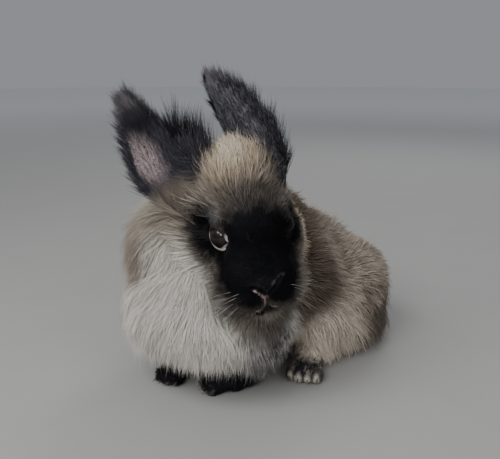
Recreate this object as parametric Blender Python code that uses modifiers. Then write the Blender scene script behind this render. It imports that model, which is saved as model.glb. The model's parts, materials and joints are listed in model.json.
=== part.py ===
"""A long-haired dwarf rabbit at life size, sitting with its head turned to its left: a still model.

Metres, +Z up. The rabbit faces -Y, its left side is +X, and it rests on the floor at Z = 0. The
sizes below are in millimetres and degrees. Every part of the body is a few rounded masses, each
given by its full size across, along and up and by its middle. They are fused, smoothed and thinned
to one closed form, and neighbours are cut clear of each other. The long wool is then set on them as
flat, tapered locks that bend along the lie of the coat, each clear of every other part.
"""

import math
import random

import bmesh
import bpy
from mathutils import Matrix, Vector
from mathutils.bvhtree import BVHTree

MM = 0.001
GAP = 0.0003
SIDES = {"right": -1, "left": 1}

# The head: its middle, how it is turned, and the eyes in the head's own frame.
HEAD_AT = (35.0, 19.5, 102.0)
HEAD_YAW, HEAD_PITCH, HEAD_ROLL = 46.0, 19.0, -9.0
EYE_RADIUS = 7.8
EYE_AT = (14.6, -11.5, 6.5)
EYE_LOOK = (0.84, -0.53, 0.08)
LID_WALL = 1.5
LID_OPENING = (14.5, 13.0)

# The ears: how far each curls round its cup, its root in the head's frame, and the ways it stands
# and opens.
EAR_LENGTH, EAR_WIDTH, EAR_WALL = 74.0, 56.0, 2.4
EAR_CURL = {"right": 28.0, "left": 46.0}
EAR_SUNK = 12.0
EAR_ROOT = {"right": (-28.0, 14.0, 12.0), "left": (11.0, 15.0, 20.0)}
EAR_STANDS = {"right": (-0.56, -0.15, 0.82), "left": (-0.53, -0.02, 0.84)}
EAR_OPENS = {"right": (0.74, -0.67, 0.26), "left": (0.60, 0.78, -0.10)}
EAR_ROWS, EAR_COLUMNS = 12, 7

# The feet: the middle of each on the floor, and how far its toes point to the rabbit's left. The
# body's middle line lies a little to the left of the forepaws', and the haunches' coat hangs to just
# over the floor.
FOREPAW_AT = {"right": (-13.0, 10.0), "left": (24.0, 15.0)}
FOREPAW_YAW = {"right": 8.0, "left": -38.0}
BODY_X = 3.0
SKIRT_HEIGHT = 1.5
HINDFOOT_AT = {"right": (-50.0, 82.0), "left": (46.0, 79.0)}
HINDFOOT_YAW = {"right": -12.0, "left": 20.0}
TOES = (-1.5, -0.5, 0.5, 1.5)
CLAW_LENGTH, CLAW_WIDTH, CLAW_SUNK = 6.0, 1.8, 2.5

# Locks of wool: how deep a root sits, how clear a lock stays of other parts and of the floor, the
# three sizes, each length, width and thickness, a lock's breadth at shares of its length, how far
# it strays from the lie, and how often one that doesn't fit is turned and shortened.
LOCK_SUNK, LOCK_CLEAR, LOCK_FLOOR = 3.5, 0.6, 1.2
LONG_LOCK, MIDDLE_LOCK, SHORT_LOCK = (34.0, 17.0, 3.6), (25.0, 13.0, 3.2), (17.0, 9.5, 2.4)
LOCK_RINGS = ((0.0, 0.8), (0.34, 1.0), (0.70, 0.72))
LOCK_STRAY, LOCK_TRIES = 0.16, 5
SEED = 11

COLOURS = {
    "dark coat": (0.020, 0.020, 0.024),
    "grey brown coat": (0.165, 0.135, 0.110),
    "cream coat": (0.48, 0.46, 0.43),
    "eye": (0.012, 0.008, 0.007),
    "claw": (0.36, 0.31, 0.26),
}
ROUGHNESS = {"eye": 0.05, "claw": 0.45}


def clear_scene():
    for obj in list(bpy.data.objects):
        bpy.data.objects.remove(obj, do_unlink=True)


def new_collection(name):
    made = bpy.data.collections.new(name)
    bpy.context.scene.collection.children.link(made)
    return made


def finish(name):
    """The material of one named colour."""
    made = bpy.data.materials.get(name)
    if made is None:
        made = bpy.data.materials.new(name)
        made.use_nodes = True
        shader = made.node_tree.nodes["Principled BSDF"]
        shader.inputs["Base Color"].default_value = (*COLOURS[name], 1.0)
        shader.inputs["Roughness"].default_value = ROUGHNESS.get(name, 0.8)
        shader.inputs["Metallic"].default_value = 0.0
    return made


def turn(yaw=0.0, pitch=0.0, roll=0.0):
    made = Matrix.Rotation(math.radians(yaw), 4, "Z") @ Matrix.Rotation(math.radians(pitch), 4, "X")
    return made @ Matrix.Rotation(math.radians(roll), 4, "Y")


def mass(size, at, yaw=0.0, pitch=0.0, roll=0.0):
    """The matrix that makes a unit ball one rounded mass of the given full size in millimetres."""
    half = [0.5 * MM * one for one in size]
    return Matrix.Translation(MM * Vector(at)) @ turn(yaw, pitch, roll) @ Matrix.Diagonal((*half, 1.0))


def both_sides(masses):
    flip = Matrix.Diagonal((-1, 1, 1, 1))
    return masses + [flip @ one for one in masses]


def head_frame():
    return Matrix.Translation(MM * Vector(HEAD_AT)) @ turn(HEAD_YAW, HEAD_PITCH, HEAD_ROLL)


def new_object(name, mesh, home):
    made = bpy.data.objects.new(name, mesh)
    home.objects.link(made)
    return made


def apply_modifiers(obj):
    bpy.context.view_layer.update()
    graph = bpy.context.evaluated_depsgraph_get()
    mesh = bpy.data.meshes.new_from_object(obj.evaluated_get(graph))
    obj.modifiers.clear()
    obj.data = mesh


def object_from(name, shape, home):
    """A new object that takes over a filled bmesh."""
    bmesh.ops.recalc_face_normals(shape, faces=shape.faces)
    mesh = bpy.data.meshes.new(name)
    shape.to_mesh(mesh)
    shape.free()
    return new_object(name, mesh, home)


def fused(name, masses, home, voxel, rounds, triangles):
    """The masses as one smooth closed form of about the given number of triangles."""
    shape = bmesh.new()
    for matrix in masses:
        bmesh.ops.create_uvsphere(shape, u_segments=32, v_segments=20, radius=1.0, matrix=matrix)
    obj = object_from(name, shape, home)
    remesh = obj.modifiers.new("Fuse", "REMESH")
    remesh.mode = "VOXEL"
    remesh.voxel_size = voxel * MM
    smooth = obj.modifiers.new("Smooth", "SMOOTH")
    smooth.factor = 0.5
    smooth.iterations = rounds
    apply_modifiers(obj)
    thin = obj.modifiers.new("Thin", "DECIMATE")
    thin.ratio = min(1.0, triangles / (2 * len(obj.data.polygons)))
    thin.use_collapse_triangulate = True
    apply_modifiers(obj)
    return obj


def combine(obj, other, operation, solver="EXACT"):
    """One applied Boolean with another closed object or with a collection of them."""
    step = obj.modifiers.new(operation.title(), "BOOLEAN")
    step.operation = operation
    step.solver = solver
    if isinstance(other, bpy.types.Collection):
        step.operand_type = "COLLECTION"
        step.collection = other
    else:
        step.object = other
    apply_modifiers(obj)


def keep_largest(obj):
    """Keeps only the largest closed surface of the mesh."""
    shape = bmesh.new()
    shape.from_mesh(obj.data)
    left = set(shape.faces)
    bodies = []
    while left:
        seed = left.pop()
        body, front = [seed], [seed]
        while front:
            for edge in front.pop().edges:
                for face in edge.link_faces:
                    if face in left:
                        left.remove(face)
                        body.append(face)
                        front.append(face)
        bodies.append(body)
    bodies.sort(key=lambda body: sum(face.calc_area() for face in body))
    scraps = {vert for body in bodies[:-1] for face in body for vert in face.verts}
    bmesh.ops.delete(shape, geom=list(scraps), context="VERTS")
    shape.to_mesh(obj.data)
    shape.free()


def clear_of(obj, neighbours):
    """Cuts an object clear of its neighbours, each grown by the gap."""
    for neighbour in neighbours:
        grown = new_object(neighbour.name + "_grown", neighbour.data.copy(), obj.users_collection[0])
        places = [vertex.co + vertex.normal * GAP for vertex in grown.data.vertices]
        for vertex, place in zip(grown.data.vertices, places):
            vertex.co = place
        combine(obj, grown, "DIFFERENCE", "MANIFOLD")
        bpy.data.objects.remove(grown)
    keep_largest(obj)


def cut_below(obj, height=0.0):
    """Cuts away what reaches below a height over the floor."""
    shape = bmesh.new()
    bmesh.ops.create_cube(shape, size=1.0, matrix=Matrix.Translation((0, 0, height * MM - 0.5)))
    floor = object_from("floor", shape, obj.users_collection[0])
    combine(obj, floor, "DIFFERENCE")
    bpy.data.objects.remove(floor)


def torso_masses():
    return [
        mass((118, 82, 88), (BODY_X, 46, 56)),
        mass((124, 104, 98), (BODY_X, 72, 56)),
        mass((116, 96, 90), (BODY_X, 114, 50)),
        mass((84, 104, 66), (BODY_X, 60, 90), pitch=-6),
    ]


def neck_masses():
    return [
        mass((92, 48, 70), (-2, 12, 51)),
        mass((76, 38, 50), (3, -1, 45)),
        mass((40, 54, 42), (36, 20, 45)),
        mass((60, 48, 56), (-19, 22, 85)),
        mass((60, 52, 60), (14, 30, 82)),
    ]


def head_masses():
    """In the head's own frame: -Y to the nose, +Z to the crown."""
    middle = [
        mass((58, 66, 56), (0, 9, 5)),
        mass((42, 50, 44), (0, -9, 9)),
        mass((42, 54, 52), (0, -13, -5)),
        mass((40, 34, 38), (0, -28, -11)),
        mass((27, 30, 26), (0, -25, -30)),
        mass((15, 10, 10), (0, -42, -7)),
        mass((40, 40, 30), (-1, 7, 29), pitch=-8),
    ]
    side = [
        mass((34, 44, 44), (17, 6, -11)),
        mass((16, 26, 14), (15, -8, 16), yaw=12),
        mass((19, 18, 23), (8, -35.5, -17)),
        mass((27, 42, 36), (13.5, -17, -21)),
    ]
    return [head_frame() @ one for one in middle + both_sides(side)]


def foreleg_masses(side):
    out = SIDES[side]
    x, y = FOREPAW_AT[side]
    yaw = FOREPAW_YAW[side]
    paw = Matrix.Translation(MM * Vector((x, y, 0))) @ turn(yaw)
    masses = [
        paw @ mass((20, 32, 15), (0, 0, 6)),
        paw @ mass((21, 24, 30), (0, 12, 15)),
        mass((26, 34, 52), (out * 34, y + 20, 34)),
        mass((34, 44, 50), (out * 38, y + 30, 50)),
    ]
    for toe in TOES:
        masses.append(paw @ mass((6, 12, 9.6), (4.7 * toe, -13.5 + abs(toe), 4.3)))
    return masses


def hindfoot_masses(side):
    x, y = HINDFOOT_AT[side]
    foot = Matrix.Translation(MM * Vector((x, y, 0))) @ turn(HINDFOOT_YAW[side])
    masses = [
        foot @ mass((24, 72, 18), (0, 0, 7)),
        foot @ mass((26, 44, 26), (0, 22, 14)),
    ]
    for toe in TOES:
        masses.append(foot @ mass((7, 16, 11), (5.7 * toe, -33 + abs(toe), 4.9)))
    return masses


def haunch_masses(side):
    out = SIDES[side]
    return [
        mass((60, 92, 74), (out * 45 + BODY_X, 119, 40), yaw=out * 6),
        mass((44, 56, 54), (out * 46 + BODY_X, 84, 37), yaw=out * 6),
        mass((56, 88, 46), (out * 45 + BODY_X, 118, 19), yaw=out * 2),
    ]


def tail_masses():
    return [
        mass((34, 26, 42), (BODY_X, 167, 34), pitch=-24),
        mass((26, 26, 28), (BODY_X, 159, 26)),
    ]


def eye_place(side):
    at = Vector(EYE_AT)
    at.x *= SIDES[side]
    return head_frame() @ (MM * at)


def eye_turn(side):
    look = Vector(EYE_LOOK)
    look.x *= SIDES[side]
    return (head_frame().to_3x3() @ look).to_track_quat("Y", "Z").to_matrix().to_4x4()


def ball(name, radius, at, home):
    shape = bmesh.new()
    place = Matrix.Translation(at)
    bmesh.ops.create_uvsphere(shape, u_segments=16, v_segments=10, radius=radius * MM, matrix=place)
    return object_from(name, shape, home)


def add_lids(head, side):
    """Raises the lids round one eye, opens them and hollows its socket."""
    home = head.users_collection[0]
    at = eye_place(side)
    lids = ball("lids", EYE_RADIUS + LID_WALL, at, home)
    combine(head, lids, "UNION")
    bpy.data.objects.remove(lids)
    wide, high = LID_OPENING
    shape = bmesh.new()
    opening = Matrix.Translation(at) @ eye_turn(side) @ mass((wide, 30, high), (0, 12, 0))
    bmesh.ops.create_uvsphere(shape, u_segments=16, v_segments=8, radius=1.0, matrix=opening)
    tools = [object_from("opening", shape, home), ball("socket", EYE_RADIUS + GAP / MM, at, home)]
    for tool in tools:
        combine(head, tool, "DIFFERENCE")
        bpy.data.objects.remove(tool)


def add_muzzle_lines(head):
    """Cuts the nostrils, the cleft under the nose and the line of the mouth."""
    home = head.users_collection[0]
    frame = head_frame()
    grooves = [mass((1.6, 6, 15), (0, -43.5, -18), pitch=-14)]
    for out in SIDES.values():
        grooves.append(mass((5.4, 7, 1.8), (out * 4.2, -46.0, -6.5), roll=out * 28))
        grooves.append(mass((17, 9, 2.2), (out * 7.5, -39.5, -28.5), roll=out * 14, yaw=out * 18))
    for groove in grooves:
        shape = bmesh.new()
        place = frame @ groove
        bmesh.ops.create_uvsphere(shape, u_segments=8, v_segments=6, radius=1.0, matrix=place)
        tool = object_from("groove", shape, home)
        combine(head, tool, "DIFFERENCE")
        bpy.data.objects.remove(tool)


def ear_half_width(along):
    """Half the width round the cup at a share of the ear's length."""
    swell = 0.62 + 0.38 * math.sin(math.pi * min(1.0, along / 0.8))
    return 0.5 * EAR_WIDTH * MM * swell * (1.0 - along ** 2.4) ** 0.85


def ear_frame(side):
    """The ear's frame: Z along it to the tip, Y the way its cup opens."""
    root = Vector(EAR_ROOT[side])
    stands = Vector(EAR_STANDS[side]).normalized()
    opens = Vector(EAR_OPENS[side])
    opens = (opens - opens.dot(stands) * stands).normalized()
    across = opens.cross(stands)
    made = Matrix((across, opens, stands)).transposed().to_4x4()
    made.translation = head_frame() @ (MM * root) - EAR_SUNK * MM * stands
    return made


def ear_point(side, along, across):
    """A place on the cup: nearly a tube at its root, and open above."""
    wrap = math.radians(EAR_CURL[side] + 110.0 * math.exp(-along / 0.16))
    radius = ear_half_width(along) / wrap
    angle = across * wrap
    height = along * (EAR_LENGTH + EAR_SUNK) * MM
    return Vector((radius * math.sin(angle), radius * (1.0 - math.cos(angle)), height))


def ear(side, home):
    """A leaf-shaped cup with a wall of even thickness."""
    shape = bmesh.new()
    bmesh.ops.create_grid(shape, x_segments=EAR_COLUMNS - 1, y_segments=EAR_ROWS - 1, size=1.0)
    for vert in shape.verts:
        vert.co = ear_point(side, 0.97 * (vert.co.y + 1.0) / 2.0, vert.co.x)
    shape.transform(ear_frame(side))
    mesh = bpy.data.meshes.new("ear_" + side)
    shape.to_mesh(mesh)
    shape.free()
    obj = new_object("ear_" + side, mesh, home)
    wall = obj.modifiers.new("Wall", "SOLIDIFY")
    wall.thickness = EAR_WALL * MM
    wall.offset = 0.0
    apply_modifiers(obj)
    shape = bmesh.new()
    shape.from_mesh(obj.data)
    bmesh.ops.recalc_face_normals(shape, faces=shape.faces)
    bmesh.ops.triangulate(shape, faces=shape.faces)
    shape.to_mesh(obj.data)
    shape.free()
    return obj


def lock(root, flat, first, last, size):
    """A flat, tapered lock that leaves its root one way, bends over and ends the other way."""
    length, width, thickness = [MM * one for one in size]
    across = first.lerp(last, 0.5).cross(flat).normalized()
    shape = bmesh.new()
    rings = []
    place = root.copy()
    before = 0.0
    for share, breadth in LOCK_RINGS + ((1.0, 0.0),):
        heading = first.lerp(last, min(1.0, 1.25 * share)).normalized()
        place = place + heading * (share - before) * length
        before = share
        if breadth:
            wide = across * 0.5 * width * breadth
            thick = heading.cross(across).normalized() * 0.5 * thickness * breadth
            corners = [place + wide, place + thick, place - wide, place - thick]
            rings.append([shape.verts.new(corner) for corner in corners])
    tip = shape.verts.new(place)
    for lower, upper in zip(rings, rings[1:]):
        for corner in range(4):
            after = (corner + 1) % 4
            shape.faces.new((lower[corner], lower[after], upper[after], upper[corner]))
    for corner in range(4):
        shape.faces.new((rings[-1][corner], rings[-1][(corner + 1) % 4], tip))
    shape.faces.new(rings[0])
    bmesh.ops.triangulate(shape, faces=shape.faces)
    bmesh.ops.recalc_face_normals(shape, faces=shape.faces)
    return shape


def surface_tree(obj, grow=0.0):
    """A search tree of an object's faces, grown outwards by a distance."""
    places = [vertex.co + vertex.normal * grow for vertex in obj.data.vertices]
    faces = [tuple(face.vertices) for face in obj.data.polygons]
    return BVHTree.FromPolygons(places, faces)


def add_locks(obj, roots, others):
    """Sets locks on an object, clear of the other parts, and fuses them all to it.

    Each root is a place inside the object's surface, the way that the lock's flat side faces, the
    ways that it starts and ends, and its size. A lock that would cross another part is turned
    towards its flat side and made shorter, and is left out where it never fits.
    """
    draw = random.Random(SEED)
    near = [surface_tree(other, LOCK_CLEAR * MM) for other in others]
    locks = new_collection("locks")
    for root, flat, first, last, size in roots:
        scale = draw.uniform(0.86, 1.14)
        stray = Vector([draw.uniform(-LOCK_STRAY, LOCK_STRAY) for _ in range(3)])
        for attempt in range(LOCK_TRIES):
            fitted = [one * scale * (1.0 - 0.09 * attempt) for one in size]
            raised = 0.3 * attempt * flat
            shape = lock(root, flat, first + raised, last + stray + raised, fitted)
            low = min(vert.co.z for vert in shape.verts)
            tree = BVHTree.FromBMesh(shape)
            if low > LOCK_FLOOR * MM and not any(tree.overlap(other) for other in near):
                object_from("lock", shape, locks)
                break
            shape.free()
    combine(obj, locks, "UNION")
    for one in list(locks.objects):
        bpy.data.objects.remove(one)
    bpy.data.collections.remove(locks)
    keep_largest(obj)


def roots_on(obj, rays, lie, size, lift, droop=0.0):
    """Roots where rays meet an object, for locks that rise by a lift and lie down by their tips."""
    tree = surface_tree(obj)
    roots = []
    for start, middle in rays:
        place, normal, _, _ = tree.ray_cast(start, (middle - start).normalized())
        if place is not None:
            along = lie(place)
            along = (along - along.dot(normal) * normal).normalized()
            last = along + 0.15 * lift * normal - Vector((0, 0, droop))
            first = (along + lift * normal).normalized()
            roots.append((place - LOCK_SUNK * MM * normal, normal, first, last.normalized(), size))
    return roots


def rays_round(middle, rows, reach=140.0):
    """Rays towards a middle: each row has its rise, first turn, last turn and count of places.

    A turn of 0 comes from -Y and a turn of 90 from +X. Every second row is set between the
    places of the row before.
    """
    middle = MM * Vector(middle)
    rays = []
    for number, (rise, first, last, count) in enumerate(rows):
        for place in range(count):
            share = (place + 0.5 * (number % 2)) / max(1, count - 1)
            around = math.radians(first + (last - first) * share)
            up = math.radians(rise)
            way = Vector((math.sin(around) * math.cos(up), -math.cos(around) * math.cos(up), math.sin(up)))
            rays.append((middle + reach * MM * way, middle))
    return rays


def claw(name, at, ahead, home):
    """A short claw, curved down towards its tip."""
    curve = bpy.data.curves.new(name, "CURVE")
    curve.dimensions = "3D"
    curve.bevel_depth = 0.5 * CLAW_WIDTH * MM
    curve.bevel_resolution = 1
    curve.use_fill_caps = True
    spline = curve.splines.new("POLY")
    shares = (0.0, 0.35, 0.7, 1.0)
    spline.points.add(len(shares) - 1)
    for point, share in zip(spline.points, shares):
        place = at + ahead * (share * CLAW_LENGTH * MM)
        place.z -= 0.9 * MM * share * share
        point.co = (*place, 1.0)
        point.radius = 1.0 - 0.8 * share
    drawn = new_object(name, curve, home)
    bpy.context.view_layer.update()
    graph = bpy.context.evaluated_depsgraph_get()
    mesh = bpy.data.meshes.new_from_object(drawn.evaluated_get(graph))
    bpy.data.objects.remove(drawn)
    shape = bmesh.new()
    shape.from_mesh(mesh)
    bmesh.ops.remove_doubles(shape, verts=shape.verts, dist=0.00001)
    return object_from(name, shape, home)


def claws(kind, side, leg):
    """The four claws of one foot, set in their toes."""
    home = leg.users_collection[0]
    if kind == "fore":
        (x, y), yaw = FOREPAW_AT[side], FOREPAW_YAW[side]
        spread, reach, height = 4.7, 18.5, 3.6
    else:
        (x, y), yaw = HINDFOOT_AT[side], HINDFOOT_YAW[side]
        spread, reach, height = 5.7, 40.0, 4.0
    foot = Matrix.Translation(MM * Vector((x, y, 0))) @ turn(yaw)
    made = []
    for number, toe in enumerate(TOES, 1):
        ahead = (foot.to_3x3() @ Vector((0.06 * toe, -1.0, 0.0))).normalized()
        at = foot @ (MM * Vector((spread * toe, abs(toe) - reach + CLAW_SUNK, height)))
        made.append(claw(f"claw_{kind}_{side}_{number}", at, ahead, home))
    return made


def stand_at_origin(parts):
    """Moves the whole rabbit so that the middle of its box's foot is the origin."""
    corners = [vertex.co for part in parts for vertex in part.data.vertices]
    low = [min(corner[axis] for corner in corners) for axis in range(3)]
    high = [max(corner[axis] for corner in corners) for axis in range(3)]
    shift = Vector((-(low[0] + high[0]) / 2, -(low[1] + high[1]) / 2, -low[2]))
    for part in parts:
        part.data.transform(Matrix.Translation(shift))


def lie_along(*direction):
    """A lie of the coat that is the same all over, as a function of the place."""
    way = Vector(direction).normalized()
    return lambda place: way


def lie_away(middle, fall):
    """A lie of the coat that spreads away from a point, falling by the given share."""
    middle = MM * Vector(middle)

    def way(place):
        spread = place - middle
        spread.z = 0.0
        return (spread.normalized() + Vector((0, 0, -fall))).normalized()

    return way


def in_head(place):
    """A place in millimetres in the head's frame, as a place in the world."""
    return head_frame() @ (MM * Vector(place))


def mane_roots(neck):
    """Tiers of locks on the chest and throat and up each side of the neck, shortest at the foot."""
    lie = lie_away((8, 26, 90), 1.6)
    foot = rays_round((4, 24, 52), ((-30, -80, 92, 11),))
    above = rays_round((4, 24, 52), ((-10, -98, 100, 13), (11, -104, 96, 12), (32, -108, 20, 7), (54, -92, -30, 4)))
    return roots_on(neck, foot, lie, MIDDLE_LOCK, 0.35, 0.3) + roots_on(neck, above, lie, LONG_LOCK, 0.4, 0.3)


def bonnet_roots(head):
    """The tuft of wool between the ears, which stands up and fans out a little."""
    turned = head_frame().to_3x3()
    tree = surface_tree(head)
    roots = []
    for row, depth in enumerate((-4, 4, 12)):
        for place in (-1.5, -0.5, 0.5, 1.5):
            across = 6.0 * (place + 0.5 * (row % 2)) - 3.0
            start, middle = in_head((across * 1.3, depth, 80)), in_head((across * 0.8, depth, 0))
            found, normal, _, _ = tree.ray_cast(start, (middle - start).normalized())
            if found is not None:
                first = turned @ Vector((across / 50.0, -0.35 + 0.2 * row, 1.0)).normalized()
                last = turned @ Vector((across / 35.0, -0.20 + 0.15 * row, 1.0)).normalized()
                flat = turned @ Vector((across / 60.0, -1.0, 0.2)).normalized()
                roots.append((found - LOCK_SUNK * MM * normal, flat, first, last, MIDDLE_LOCK))
    return roots


def cheek_roots(head):
    """The wool of the left cheek, which lies back and down from the face."""
    turned = head_frame().to_3x3()
    rays = []
    for row, depth in enumerate((2, 13)):
        for place in range(4):
            height = 11 * (place + 0.5 * row) - 24
            rays.append((in_head((80, depth, height)), in_head((0, depth, height))))
    lie = lie_along(*(turned @ Vector((0.3, 0.8, -0.9))))
    return roots_on(head, rays, lie, MIDDLE_LOCK, 0.45, 0.1)


def ear_roots(side):
    """Locks along both edges of an ear and at its tip, and tall ones at the foot of its inner edge."""
    frame = ear_frame(side)
    turned = frame.to_3x3()
    roots = []

    def add(along, across, way, size):
        flat = ear_point(side, along, across + 0.02) - ear_point(side, along, across - 0.02)
        flat = turned @ Vector((-flat.y, flat.x, 0.0)).normalized()
        roots.append((frame @ ear_point(side, along - 0.04, across), flat, way, way, size))

    for out in SIDES.values():
        for along in (0.34, 0.47, 0.60, 0.73, 0.85):
            add(along, 0.84 * out, turned @ Vector((out * 0.28, 0.05, 1.0)).normalized(), SHORT_LOCK)
    for across in (-0.4, 0.0, 0.4):
        add(0.88, across, turned @ Vector((0.4 * across, 0.05, 1.0)).normalized(), SHORT_LOCK)
    tall = (turned @ Vector((-0.2, 0.0, 0.5)) + Vector((0, 0, 1))).normalized()
    for along in (0.20, 0.32, 0.44, 0.56):
        add(along, -0.80, tall, MIDDLE_LOCK)
    return roots


def haunch_roots(side, leg):
    """The skirt of wool along the foot of the haunch and round the rump."""
    out = SIDES[side]
    middle = (out * 40 + BODY_X, 116, 27)
    low = rays_round(middle, ((-12, out * 26, out * 168, 10),))
    high = rays_round(middle, ((10, out * 36, out * 160, 8),))
    lie = lie_along(0.0, 0.4, -1.0)
    return roots_on(leg, low, lie, SHORT_LOCK, 0.2, 0.5) + roots_on(leg, high, lie, MIDDLE_LOCK, 0.25, 0.5)


def make_head(home):
    head = fused("head", head_masses(), home, 1.5, 6, 1300)
    for side in SIDES:
        add_lids(head, side)
    add_muzzle_lines(head)
    keep_largest(head)
    return head


def make_legs(side, home, body):
    """One side's foreleg and hindleg with their claws."""
    foreleg = fused("foreleg_" + side, foreleg_masses(side), home, 1.2, 5, 420)
    cut_below(foreleg)
    hindleg = fused("hindleg_" + side, hindfoot_masses(side), home, 1.2, 5, 380)
    cut_below(hindleg)
    haunch = fused("haunch", haunch_masses(side), home, 2.5, 8, 380)
    cut_below(haunch, SKIRT_HEIGHT)
    combine(hindleg, haunch, "UNION")
    bpy.data.objects.remove(haunch)
    nails = []
    for kind, leg in (("fore", foreleg), ("hind", hindleg)):
        own = claws(kind, side, leg)
        clear_of(leg, body + own)
        nails += own
    clear_of(hindleg, [foreleg])
    return foreleg, hindleg, nails


def main():
    clear_scene()
    rabbit = new_collection("Dwarf rabbit")
    head = make_head(rabbit)
    eyes = [ball("eye_" + side, EYE_RADIUS, eye_place(side), rabbit) for side in SIDES]
    neck = fused("neck", neck_masses(), rabbit, 3.0, 8, 520)
    clear_of(neck, [head])
    torso = fused("torso", torso_masses(), rabbit, 3.0, 14, 760)
    clear_of(torso, [neck, head])
    ears = [ear(side, rabbit) for side in SIDES]
    for one in ears:
        clear_of(one, [head, neck])
    forelegs, hindlegs, nails = [], [], []
    for side in SIDES:
        foreleg, hindleg, own = make_legs(side, rabbit, [torso, neck])
        forelegs.append(foreleg)
        hindlegs.append(hindleg)
        nails += own
    tail = fused("tail", tail_masses(), rabbit, 1.5, 8, 200)
    clear_of(tail, [torso] + hindlegs)

    flesh = [head, neck, torso, tail] + ears + forelegs + hindlegs
    woolly = [(neck, mane_roots(neck)), (head, bonnet_roots(head) + cheek_roots(head))]
    woolly += [(one, ear_roots(side)) for one, side in zip(ears, SIDES)]
    woolly += [(one, haunch_roots(side, one)) for one, side in zip(hindlegs, SIDES)]
    for part, roots in woolly:
        add_locks(part, roots, [one for one in flesh + eyes + nails if one is not part])

    finishes = {"dark coat": [head] + ears + forelegs, "eye": eyes, "claw": nails}
    finishes.update({"cream coat": [neck], "grey brown coat": [torso, tail] + hindlegs})
    for name, parts in finishes.items():
        for part in parts:
            part.data.materials.clear()
            part.data.materials.append(finish(name))
            part.data.shade_flat() if name == "claw" else part.data.shade_smooth()
    stand_at_origin([part for parts in finishes.values() for part in parts])


if __name__ == "__main__":
    main()
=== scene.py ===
"""The looks of a long-haired dwarf rabbit, sitting with its head turned to its left.

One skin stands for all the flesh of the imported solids, and lies inside them by the depth of the
coat. The coat is solid mesh: thin tapered tufts that are rooted on the skin and follow the lie.
Sizes in the tables are in millimetres and degrees, in the frame that the body was laid out in.
"""

import json
import math

import bmesh
import bpy
import numpy as np
from mathutils import Matrix, Vector
from mathutils.bvhtree import BVHTree
from mathutils.kdtree import KDTree

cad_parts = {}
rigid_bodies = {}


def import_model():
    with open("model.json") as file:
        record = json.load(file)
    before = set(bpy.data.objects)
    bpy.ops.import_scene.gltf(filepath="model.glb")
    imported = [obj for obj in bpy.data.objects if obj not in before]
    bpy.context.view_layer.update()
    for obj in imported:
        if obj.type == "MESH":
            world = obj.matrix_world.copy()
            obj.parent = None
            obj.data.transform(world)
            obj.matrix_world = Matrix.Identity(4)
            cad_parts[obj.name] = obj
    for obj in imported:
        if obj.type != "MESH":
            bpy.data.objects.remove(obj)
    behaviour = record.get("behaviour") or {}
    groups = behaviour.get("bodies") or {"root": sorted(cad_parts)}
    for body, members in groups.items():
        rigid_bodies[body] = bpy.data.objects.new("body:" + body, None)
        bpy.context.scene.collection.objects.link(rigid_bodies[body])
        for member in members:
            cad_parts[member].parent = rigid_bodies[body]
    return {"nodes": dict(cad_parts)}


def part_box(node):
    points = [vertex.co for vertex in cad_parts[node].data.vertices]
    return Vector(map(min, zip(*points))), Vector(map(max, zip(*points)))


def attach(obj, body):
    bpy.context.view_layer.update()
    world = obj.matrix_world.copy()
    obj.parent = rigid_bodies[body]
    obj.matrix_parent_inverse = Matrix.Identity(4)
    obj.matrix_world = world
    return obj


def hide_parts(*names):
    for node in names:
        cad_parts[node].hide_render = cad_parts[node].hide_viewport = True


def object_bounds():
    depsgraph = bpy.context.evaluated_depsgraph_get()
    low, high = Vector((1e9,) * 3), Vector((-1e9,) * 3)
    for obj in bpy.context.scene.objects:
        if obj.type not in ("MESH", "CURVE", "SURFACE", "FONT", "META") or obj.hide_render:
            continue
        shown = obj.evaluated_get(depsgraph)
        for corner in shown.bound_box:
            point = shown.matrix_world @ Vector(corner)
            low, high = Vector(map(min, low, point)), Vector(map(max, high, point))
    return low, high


bl_info = {
    "name": "Dwarf rabbit",
    "version": (1, 0, 0),
    "blender": (4, 5, 0),
    "location": "3D View > Sidebar > Rabbit",
    "description": "Builds the skin, coat, eyes and whiskers of a long-haired dwarf rabbit",
    "category": "Object",
}

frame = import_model()
CAD_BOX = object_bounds()

MM = 0.001
SIDES = {"right": -1, "left": 1}

# The head and its eyes: place and turn of the head, and in the head's frame the middle of the left eye,
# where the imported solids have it, and the way it looks.
HEAD_AT = (35.0, 19.5, 102.0)
HEAD_TURN = (46.0, 19.0, -9.0)
EYE_RADIUS = 7.8
EYE_AT = (15.9, -11.2, 8.0)
EYE_IN_SOLIDS = (14.6, -11.5, 6.5)
EYE_LOOK = (0.80, -0.59, 0.09)
# How far the short fur round each eye points away from it.
EYE_COMBED = {"right": 0.85, "left": 0.0}

# The ears. The curl is half the turn of an ear's cup in degrees, EAR_ROLLED how much more it is at the
# root and the share of the length over which that eases off.
EAR_LENGTH = {"right": 74.0, "left": 66.0}
EAR_WIDTH, EAR_SUNK = 56.0, 12.0
EAR_CURL = {"right": 28.0, "left": 30.0}
EAR_ROLLED = (110.0, 0.21)
# How an ear narrows to its tip, as two powers.
EAR_TAPER = {"right": (2.0, 1.00), "left": (2.6, 0.74)}
# Shares by which the outer half is tucked in at the root and the inner half is slimmer at the tip.
EAR_TUCK = {"right": 0.50, "left": 0.0}
EAR_SLIM = {"right": 0.50, "left": 0.0}
# Root, way to the tip and way the cup opens, in the head's frame for the root.
EAR_ROOT = {"right": (-28.0, 14.0, 12.0), "left": (11.0, 15.0, 20.0)}
EAR_STANDS = {"right": (-0.56, -0.15, 0.82), "left": (-0.53, -0.02, 0.84)}
EAR_OPENS = {"right": (0.74, -0.67, 0.26), "left": (0.60, 0.78, -0.10)}

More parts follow.
